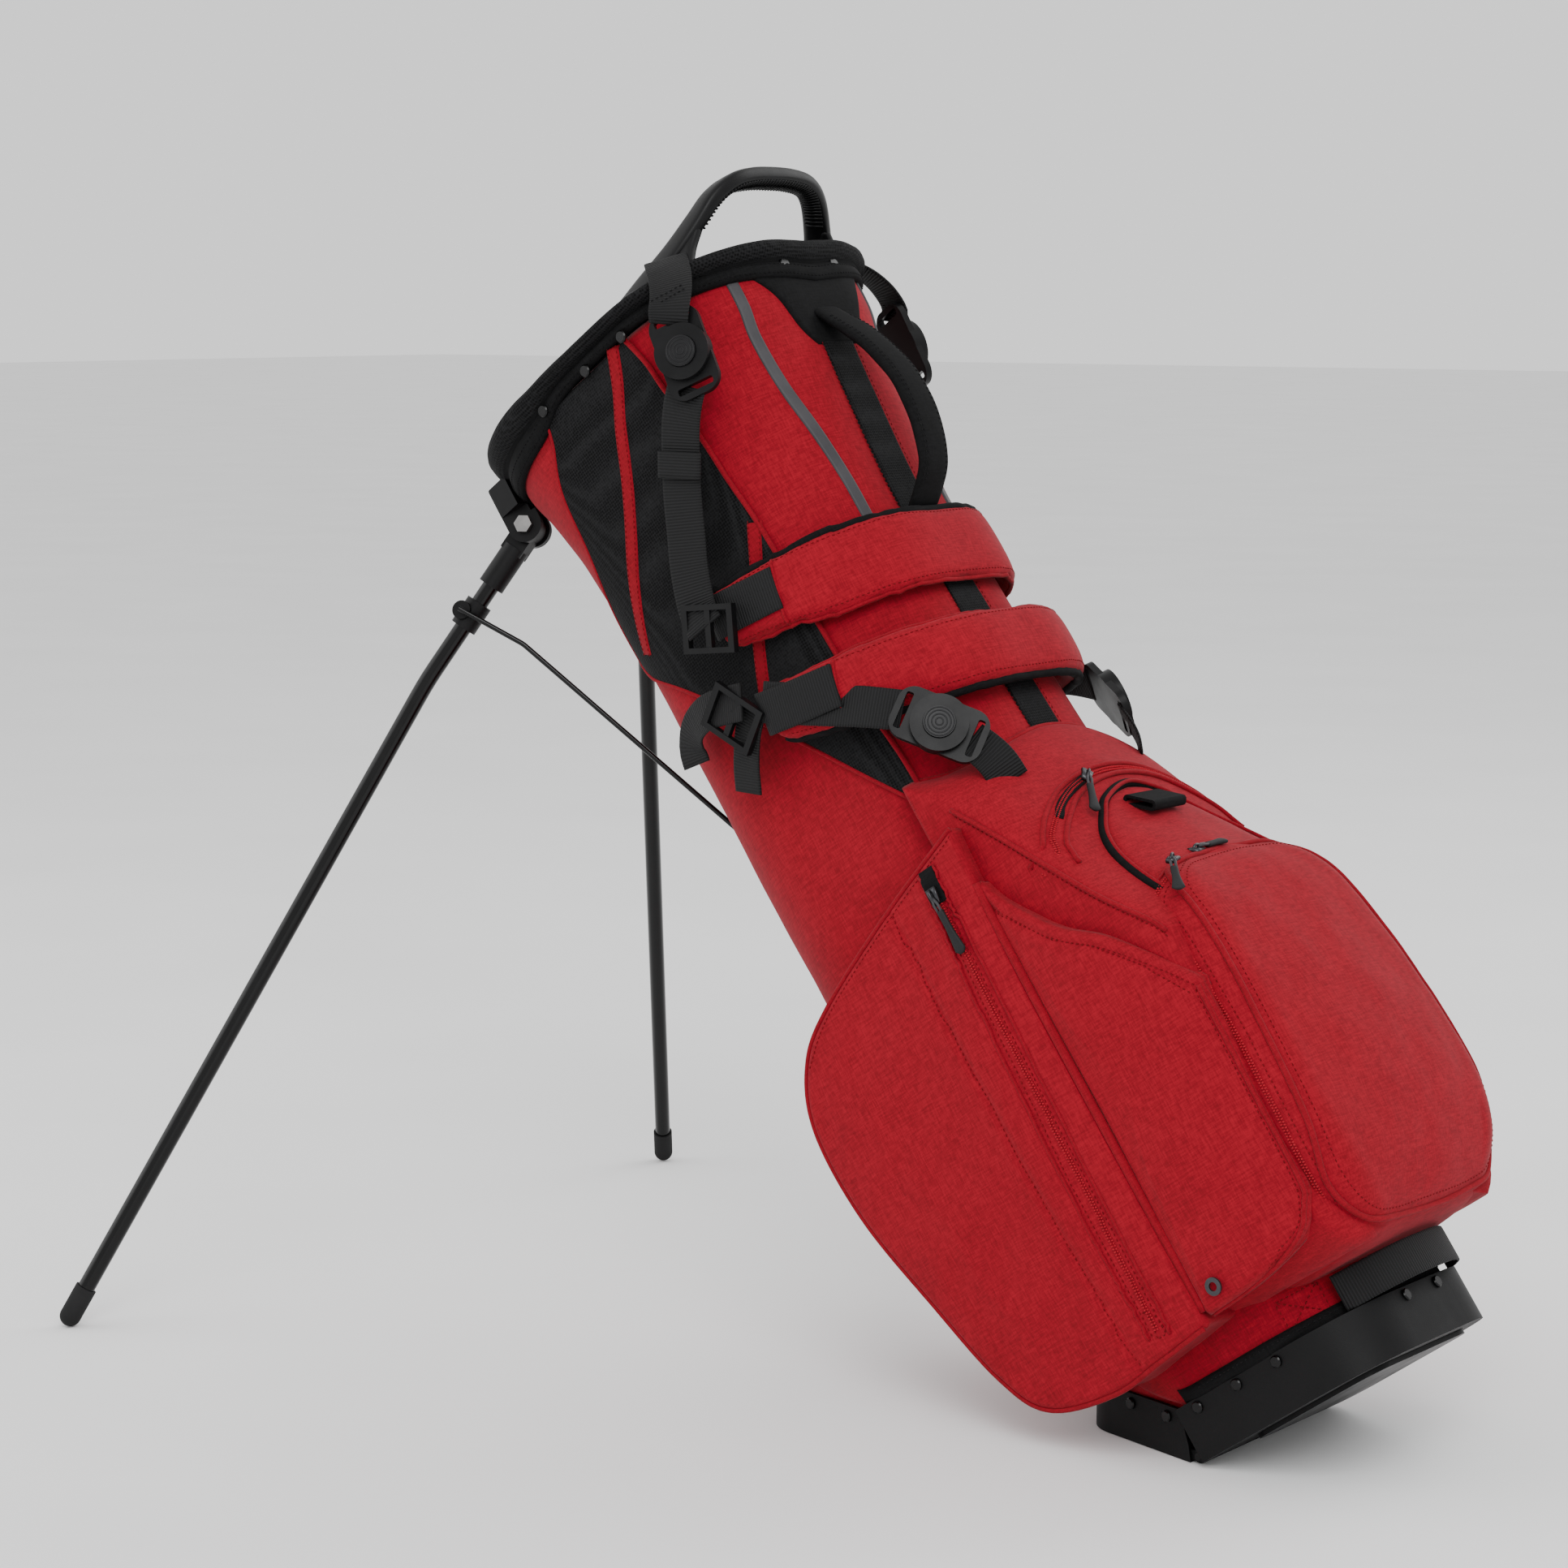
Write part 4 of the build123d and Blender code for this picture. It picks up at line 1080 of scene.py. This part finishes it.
def collar():
    """The padded band round the rim: a mesh roll above a smooth binding."""
    # out from the skin, up from the lower edge, and 1 where it is mesh
    profile = ((0.3, 0.0, 0), (3.8, 1.0, 0), (5.6, 5.0, 0), (6.0, 10.0, 0), (5.0, 14.2, 0), (3.6, 15.8, 0),
               (6.6, 17.0, 1), (10.8, 20.0, 1), (13.4, 24.0, 1), (13.8, 28.0, 1), (11.8, 32.0, 1),
               (7.6, 34.6, 1), (2.2, 35.8, 1), (-3.0, 35.2, 1), (-6.6, 32.8, 1), (-7.6, 28.0, 1),
               (-6.6, 16.0, 1))
    columns = 260
    girth = half_girth(870)
    verts = []
    for off, up, _ in profile:
        for j in range(columns):
            w = -girth + 2 * girth * j / columns
            low = smooth_rows(COLLAR_LOW, abs(w))[0]
            top = 889.5 - 3.5 * max(0.0, 1 - abs(w) / 130)
            z = low + (top - low) * up / 35.8
            point, normal = skin(w, min(z, 889.9))
            soft = ripple((point.x, point.y, up * 3), 26, 0.9) + ripple((point.x, point.y, up), 11, 0.35)
            verts.append(Vector((point.x, point.y, z)) + normal * (off + (soft if off > 1 else 0)))
    obj = piece("collar_roll", verts, grid_faces(len(profile), columns, True, True), BLACK)
    obj.data.materials.append(MESH)
    for index, face in enumerate(obj.data.polygons):
        face.material_index = profile[index // columns][2]
    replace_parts(obj, "collar_pad")
    outward(obj)
    lines = []
    for up in (3.0, 13.6):
        turns = [-girth + 2 * girth * j / 90 for j in range(90)]
        lines.append([skin(w, smooth_rows(COLLAR_LOW, abs(w))[0] + up * 0.72, 6)[0] for w in turns])
    stitches_on("collar_stitches", surface_of(obj), lines, BLACK, 0.2)


# the lift handle from its near foot to its middle
HANDLE_ROUTE = ((40, -101, 889), (62, -95, 896), (88, -82, 907), (108, -69, 919), (123, -57, 930),
                (132, -42, 936), (135, -22, 938.5), (135.5, 0, 939))


def rounded_bar(path, normal_at, half_wide, half_thick, power=3.2, sides=20):
    """A bar of rounded rectangular section; its half sizes are functions of the share of its length."""
    verts = []
    for i, (point, normal, side) in enumerate(frames_along(path, normal_at)):
        share = i / (len(path) - 1)
        for k in range(sides):
            c, s = rounded(k, sides, 2 / power, 2 / power)
            verts.append(point + side * (c * half_wide(share)) + normal * (s * half_thick(share)))
    return verts, tube_faces(len(path), sides)


def lift_handle():
    """The moulded handle: a ribbed grip, flat tapering arms, and a strut and a toe behind each arm."""
    path = smooth_line(mirrored(HANDLE_ROUTE), 3)

    def normal_at(i):
        lean = max(-1.0, min(1.0, path[i].y / 70))
        return Vector((0.1, lean * 0.9, 1 - 0.4 * abs(lean)))

    shapes = [rounded_bar(path, normal_at, lambda t: 9.0 + 3.5 * abs(2 * t - 1) ** 2,
                          lambda t: 6.4 - 1.6 * abs(2 * t - 1))]
    for side in (-1, 1):
        strut = smooth_line([(106, side * 71, 916), (97, side * 81, 902), (91, side * 92, 884)], 3)
        facing = Vector((0.2, side, 0.4))
        shapes.append(rounded_bar(strut, lambda i: facing, lambda t: 8 + 3 * t, lambda t: 4.2))
        toe = smooth_line([(48, side * 103, 892), (66, side * 101, 889), (92, side * 95, 885)], 3)
        shapes.append(rounded_bar(toe, lambda i: Vector((0, side, 0.3)), lambda t: 5.5, lambda t: 4.0))
    obj = outward(piece("lift_handle_moulding", *join_shapes(shapes), PLASTIC))
    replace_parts(obj, "lift_handle")
    ribs = []
    for point, normal, side in frames_along(path, normal_at)[len(path) // 4:-len(path) // 4]:
        start = point - normal * 5.6 - side * 7
        ribs.append(tube_shape([start, start + side * 7 - normal, start + side * 14], 0.8, 6))
    piece("lift_handle_ribs", *join_shapes(ribs), PLASTIC)


def grab_handle():
    """The padded carry handle down the spine, with its lengthwise stitching."""
    route = ((117, 842), (128, 824), (143, 796), (152, 770), (155.5, 745), (152, 716), (143, 693), (128, 679),
             (113, 669))
    path = smooth_line([(x, 0, z) for x, z in route], 3)
    verts, faces = rounded_bar(path, lambda i: Vector((1, 0, 0.25)), lambda t: 16.0,
                               lambda t: 2.0 + 3.0 * sin(pi * t) ** 0.5, 2.6, 28)
    verts = [v + Vector((ripple(v, 20, 0.7), ripple(v + Vector((9, 9, 9)), 25, 0.8), 0)) for v in verts]
    obj = outward(piece("grab_handle_pad", verts, faces, BLACK))
    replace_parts(obj, "spine_grab_handle")
    rows = [[(p.x + 5, y, p.z + 1) for p in path[8:-6:4]] for y in (-12.5, -10.5, 10.5, 12.5)]
    stitches_on("grab_handle_stitches", surface_of(obj), rows, LINING, 0.2)


# ---------------------------------------------------------------- shoulder straps
def pad_point(pad, w, v, off):
    """A point of a shoulder pad: w round the body, v across it from -1 to 1, off from the skin."""
    height, rise, half = pad
    grow = max(0.0, min(1.0, (abs(w) - 110) / 75))
    wide = half * (1 - 0.3 * grow)
    foot, normal = skin(w, height, 0)
    z = height + rise * (114 - foot.x) + 5 * grow + v * wide
    point = foot + normal * off
    return Vector((point.x, point.y, z)), normal


def simulated(obj, cap, voxel=0.0045):
    """Swell a closed piece as cloth under pressure, never by more than cap, and keep the result."""
    remesh = obj.modifiers.new("remesh", "REMESH")
    remesh.mode = "VOXEL"
    remesh.voxel_size = voxel
    remesh.use_smooth_shade = True
    graph = bpy.context.evaluated_depsgraph_get()
    even = bpy.data.meshes.new_from_object(obj.evaluated_get(graph))
    obj.modifiers.clear()
    obj.data = even
    before = [v.co.copy() for v in even.vertices]
    cloth = obj.modifiers.new("cloth", "CLOTH")
    cloth.settings.quality = 5
    cloth.settings.mass = 0.3
    cloth.settings.tension_stiffness = 12
    cloth.settings.compression_stiffness = 12
    cloth.settings.shear_stiffness = 6
    cloth.settings.bending_stiffness = 0.4
    cloth.settings.use_pressure = True
    cloth.settings.uniform_pressure_force = 4
    cloth.settings.effector_weights.gravity = 0
    cloth.collision_settings.use_collision = False
    cloth.point_cache.frame_end = 20
    for number in range(1, 21):
        bpy.context.scene.frame_set(number)
    graph = bpy.context.evaluated_depsgraph_get()
    after = [v.co.copy() for v in obj.evaluated_get(graph).data.vertices]
    obj.modifiers.clear()
    bpy.context.scene.frame_set(1)
    for vertex, a, b in zip(even.vertices, before, after):
        move = b - a
        if move.length > cap * MM:
            move = move.normalized() * cap * MM
        vertex.co = a + move
    smooth = obj.modifiers.new("smooth", "SUBSURF")
    smooth.levels = 1
    graph = bpy.context.evaluated_depsgraph_get()
    obj.data = bpy.data.meshes.new_from_object(obj.evaluated_get(graph))
    obj.modifiers.clear()
    obj.data.polygons.foreach_set("use_smooth", [True] * len(obj.data.polygons))
    return obj


def shoulder_pad(name, node, pad, inner, outer, reach, bound_edge):
    """One padded strap: a swollen red cushion, black along one edge, with a webbing patch at each end.

    It lies between inner and outer from the skin, and goes reach round the body to each side.
    """
    along = 110
    around = 24
    middle = (inner + outer) / 2
    verts = []
    for i in range(along + 1):
        t = -1 + 2 * i / along
        end = sqrt(max(0.0, 1 - max(0.0, (abs(t) - 0.93) / 0.07) ** 2))
        dull = 0.86 + 0.14 * min(1.0, (1 - abs(t)) / 0.35)
        half = (outer - inner) / 2 * dull * (0.35 + 0.65 * end) * 0.86
        for k in range(around):
            c, s = rounded(k, around, 0.72, 0.8)
            verts.append(pad_point(pad, t * reach, c * (0.4 + 0.6 * end) * 0.95, middle + s * half)[0])
    cushion = simulated(outward(piece(name, verts, tube_faces(along + 1, around), RED)), 5.0)
    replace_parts(cushion, node)
    tree = surface_of(cushion)
    steps = [reach * 0.985 * (-1 + 2 * i / 60) for i in range(61)]

    def line(at, v, off):
        return [pad_point(pad, w, v, off)[0] for w in at]

    piping_on(name + "_binding", tree, line(steps, bound_edge, middle), 3.4, 0.4, BLACK)
    piping_on(name + "_edge_piping", tree, line(steps, -bound_edge, middle), 1.7, 0.5)
    lines = [line(steps[2:-2], v, outer + 2) for v in (-bound_edge * 0.78, bound_edge * 0.78)]
    for side, word in SIDES:
        across = [pad_point(pad, side * (reach - 58 - 6 * v), v, outer + 2)[0]
                  for v in (-0.9, -0.4, 0.1, 0.5, 0.9)]
        piping_on("%s_end_seam_%s" % (name, word), tree, across, 1.3, 0.2)
        patch = line([side * (reach + at) for at in (3, -20, -40, -59)], 0.12, outer + 2)
        tape_on("%s_webbing_%s" % (name, word), tree, patch, 31, WEBBING, 1.8, 1.2)
        lines += [[p + Vector((0, 0, v)) for p in patch] for v in (-13.2, 13.2)]
    stitches_on(name + "_stitches", tree, lines)


def webbing(name, points, width, normal, thick=1.9):
    """A flat strap along points, its face turned to a direction or to a function of the index."""
    normal_at = normal if callable(normal) else (lambda i: Vector(normal))
    return strip_piece(name, smooth_line(points), normal_at, width, thick, WEBBING)


def straps(side, word):
    """The webbing of one flank, through its connectors and buckles."""
    out = (0.08, -side, 0)

    def facing(i):
        share = min(1.0, i / 12)
        return Vector((0.3 + 0.4 * share, -side * (1 - 0.25 * share), 0.3 * share))

    def turn(i):
        share = min(1.0, i / 27)
        return Vector((0.1 + 0.5 * share, -side * (1 - 0.25 * share), 0.05))

    upper = ((76, 126.5, 803), (66, 128.5, 793), (53, 128.5, 778), (32, 127.5, 748), (16, 127, 720),
             (4, 127.5, 697), (-4, 129, 672), (-4, 131.5, 656))
    hanger = ((88, 128, 846), (94, 129, 853), (98, 123, 864), (98.5, 115, 877), (95, 106, 890), (90, 97, 900))
    lower = ((8, 128, 588), (30, 127, 573), (54, 125.5, 557), (76, 121, 542), (96, 112, 526))
    anchor = ((119, 91, 487), (123, 87.5, 476), (125, 84, 464), (123, 79, 450))
    tail = ((-6, 131, 597), (-24, 129, 604), (-44, 125, 610), (-64, 119, 609), (-76, 115, 600),
            (-80, 114, 588))
    tail_low = ((-2, 127, 590), (-18, 126, 578), (-34, 123, 562), (-46, 120, 546))
    drawn = {}
    for label, points, width, normal in (("upper", upper, 33, out), ("hanger", hanger, 31, facing),
                                         ("lower", lower, 29, turn),
                                         ("anchor", anchor, 28, (0.7, -side * 0.75, 0.3)),
                                         ("tail", tail, 27, (-0.05, -side, 0.2)),
                                         ("tail_low", tail_low, 25, (0.0, -side, 0.15))):
        drawn[label] = webbing("strap_%s_%s" % (label, word), turned_to(side, points), width, normal)
    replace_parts(drawn["upper"], "strap_webbing_" + word)
    webbing("strap_keeper_" + word, turned_to(side, ((47, 131, 768), (36, 130.6, 753))), 37, out, 2.6)
    rows = [turned_to(side, ((86, 131, z), (97, 125, z), (108, 117, z))) for z in (862, 867)]
    stitches_on("strap_hanger_stitches_" + word, surface_of(drawn["hanger"]), rows, LINING, 0.4, 2.4, 0.5,
                "black_webbing")


def base_loop():
    """The webbing handle across the back of the foot, and the stitched boxes that hold its ends."""
    half = ((147, -66, 51), (156, -61, 51), (168, -48, 51.5), (178, -26, 52), (181.5, 0, 52))
    line = smooth_line(mirrored(half))
    obj = strip_piece("base_loop", line, lambda i: Vector((1.2, line[i].y / 60, 0)), 25, 2.2, WEBBING)
    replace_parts(obj, "base_grab_loop")
    box = ((68, 44), (98, 44), (98, 65), (68, 65), (68, 44), (98, 65))
    lines = list(zip(box, box[1:])) + [((98, 44), (68, 65))]
    for side, word in SIDES:
        skin_stitches("base_box_stitches_" + word, lines, side, 0.5)


def foot_binding():
    """The black band that ties the cloth to the base."""
    flank = half_girth(36) - 104
    verts = []
    rows = ((36, 0.5), (37.5, 3.2), (38.5, 4.2), (44, 4.0), (46, 2.5), (47, 0.5))
    count = 150
    for z, off in rows:
        for j in range(count + 1):
            w = -flank + 2 * flank * j / count
            fade = min(1.0, (flank - abs(w)) / 14) ** 0.5
            point, normal = skin(w, z + 2 * (1 - fade), off * fade)
            verts.append(point + normal * ripple(point, 22, 0.5) * fade)
    outward(piece("foot_binding", verts, grid_faces(len(rows), count + 1), BLACK))
    line = [(w, 43) for w in range(-int(flank) + 16, int(flank) - 15, 6)]
    skin_stitches("foot_binding_stitches", [line], NEAR, 4.2, LINING)


collar()
lift_handle()
grab_handle()
# each pad's height at the back, its rise per millimetre forwards, and its half width
UPPER_PAD = (636, 0.148, 33)
LOWER_PAD = (549, 0.218, 30)
shoulder_pad("upper_pad", "shoulder_pad_upper", UPPER_PAD, inner=3.0, outer=16.0, reach=186, bound_edge=1)
shoulder_pad("lower_pad", "shoulder_pad_lower", LOWER_PAD, inner=5.0, outer=26.0, reach=182, bound_edge=-1)
for side, word in SIDES:
    straps(side, word)
base_loop()
foot_binding()


# ---------------------------------------------------------------- zipper pulls and buttons
def zip_pull(name, origin, up, out, length, tip=None):
    """A slider, its cord and its pull: up runs back along the zipper, out away from the cloth."""
    up = Vector(up).normalized()
    out = Vector(out)
    out = (out - up * out.dot(up)).normalized()
    hang = Vector(tip).normalized() if tip else -up

    def at(b, c):
        return Vector(origin) + up * b + out * c

    slider = [rounded_bar([at(5.5, 1.6), at(1, 1.8), at(-5.5, 1.6)], lambda i: out, lambda t: 4.6 - 1.4 * t,
                          lambda t: 1.7)]
    bridge = smooth_line([at(4.5, 2.6), at(3, 5.0), at(-1, 5.2), at(-4, 2.8)], 1.2)
    slider.append(tube_shape(bridge, 1.0))
    outward(piece(name + "_slider", *join_shapes(slider), GUNMETAL, name))
    start = at(-1, 4.2)
    flat = hang.cross(out).normalized()
    cords = []
    for shift in (-1.6, 1.6):
        cord = [start, start + hang * 5 + flat * shift, start + hang * 13 + flat * shift * 0.8 - out]
        cords.append(tube_shape(cord, 1.0))
    piece(name + "_cord", *join_shapes(cords), REFLECTIVE, name, slot="zip_metal")
    path = [start + hang * (10 + (length - 10) * k / 12) - out * (1.2 + 0.1 * k) for k in range(13)]

    def half_wide(t):
        return 2.6 + 2.4 * max(0.0, (t - 0.35) / 0.65) ** 1.5 - 3.2 * max(0.0, (t - 0.9) / 0.1) ** 2

    def half_thick(t):
        return 1.7 - 0.7 * max(0.0, (t - 0.9) / 0.1)

    pull = rounded_bar(path, lambda i: out, half_wide, half_thick, 2.6, 16)
    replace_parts(outward(piece(name + "_pull", *pull, PULL, name)), name)


def button_rings():
    """The raised rings on each connector button."""
    up = Vector((0, 0, 1))
    for which, place, degrees in (("upper", (86, 123, 823), 22.0), ("lower", (108, 100, 505), 43.0)):
        turn = radians(degrees)
        for side, word in SIDES:
            out = Vector((sin(turn), -side * cos(turn), 0))
            centre = Vector(turned_to(side, [place])[0]) + out * 11.4
            across = out.cross(up)
            rings = []
            for radius in (2.6, 5.2, 7.8, 10.0):
                angles = [k * pi / 18 for k in range(36)]
                ring = [centre + (up * cos(a) + across * sin(a)) * radius for a in angles]
                rings.append(tube_shape(ring, 0.55, 6, True))
            node = "button_%s_%s" % (which, word)
            piece(node + "_rings", *join_shapes(rings), BUTTON, node)


for side, word in SIDES:
    zip_pull("apparel_zip_" + word, (61.8, -side * 131.6, 404), (0.0248, 0, 1), (0, -side, 0), 42)
zip_pull("valuables_zip", (151.5, -40, 432), (-0.15, 0.81, 0.57), (0.95, -0.1, 0.3), 34, (0.16, -0.55, -0.80))
zip_pull("ball_zip_near", (205.0, -81, 341), (-0.26, 0.93, 0.24), (0.6, -0.3, 0.75), 30, (0.2, -0.62, -0.75))
zip_pull("ball_zip_far", (192, -28, 348.5), (0, -1, 0), (0.6, 0, 0.8), 30, (0.1, 0.99, 0.05))
button_rings()


def settle():
    """Turn every piece that was drawn upright into the row frame for good."""
    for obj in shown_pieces():
        if "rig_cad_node" not in obj:
            obj.data.transform(obj.matrix_world)
            obj.matrix_basis = Matrix.Identity(4)


settle()


# ---------------------------------------------------------------- finishes of the frame's own nodes
# a name that ends in _ stands for its near node and its far node
FINISHES = {
    PLASTIC: ("top_cuff", "rod_channel", "wire_slider", "base_skid_plate", "leg_bracket", "ladder_locks",
              "leg_knuckle_", "leg_collar_", "connector_upper_", "connector_lower_"),
    TEXTURED: ("base_shell", "base_pedal"),
    LINING: ("cross_divider", "centre_dividers"),
    STEEL: ("push_rod", "pedal_hinge_pin", "base_rivets", "pedal_rivets", "cuff_rivets", "spreader_wire_"),
    BUTTON: ("button_upper_", "button_lower_"), ANODISED: ("leg_tube_",), NYLON: ("leg_bush_",),
    RUBBER: ("leg_foot_",), GLASS_FIBRE: ("stay_rods",), GUNMETAL: ("drain_grommets",),
    ZINC: ("pivot_bolts",), BLACK: ("loop_tab",),
}
for finish, names in FINISHES.items():
    for name in names:
        words = ("near", "far") if name.endswith("_") else ("",)
        for word in words:
            data = frame["nodes"][name + word].data
            data.materials.clear()
            data.materials.append(finish)


# ---------------------------------------------------------------- stage, lights and camera
def floor():
    # 60 m square, just under the ground plane
    size = 60.0 / MM
    count = 8
    spans = [size * (i / count - 0.5) for i in range(count + 1)]
    verts = [(x, y, -0.5) for x in spans for y in spans]
    mat, tree, shader = new_material("pale_floor", Roughness=0.9)
    colour_by(tree, shader, noise_output(tree, 3), grey(0.80), grey(0.83))
    mesh_object("floor", verts, grid_faces(count + 1, count + 1), mat)


def soft_light(name, place, size, power):
    """A square light that faces the middle of the bag."""
    light = bpy.data.lights.new(name, "AREA")
    light.size = size
    light.energy = power
    obj = bpy.data.objects.new(name, light)
    bpy.context.scene.collection.objects.link(obj)
    obj.location = place
    obj.rotation_euler = (Vector((-0.25, 0.0, 0.4)) - Vector(place)).to_track_quat("-Z", "Y").to_euler()


def camera():
    data = bpy.data.cameras.new("camera")
    data.lens = 83.85
    data.sensor_width = 36.0
    data.clip_end = 120.0
    obj = bpy.data.objects.new("camera", data)
    bpy.context.scene.collection.objects.link(obj)
    obj.location = (1.3035, -2.0551, 0.7643)
    obj.rotation_euler = (radians(82.307), 0, radians(39.026))
    bpy.context.scene.camera = obj


floor()
soft_light("key", (1.9, -2.4, 3.0), 2.2, 110)
soft_light("fill", (-2.8, -2.0, 1.8), 2.6, 34)
soft_light("back", (0.8, 2.8, 2.6), 2.4, 45)
world = bpy.data.worlds.new("studio")
world.use_nodes = True
world.node_tree.nodes["Background"].inputs["Color"].default_value = (1.0, 1.0, 1.0, 1)
world.node_tree.nodes["Background"].inputs["Strength"].default_value = 1.15
bpy.context.scene.world = world
camera()
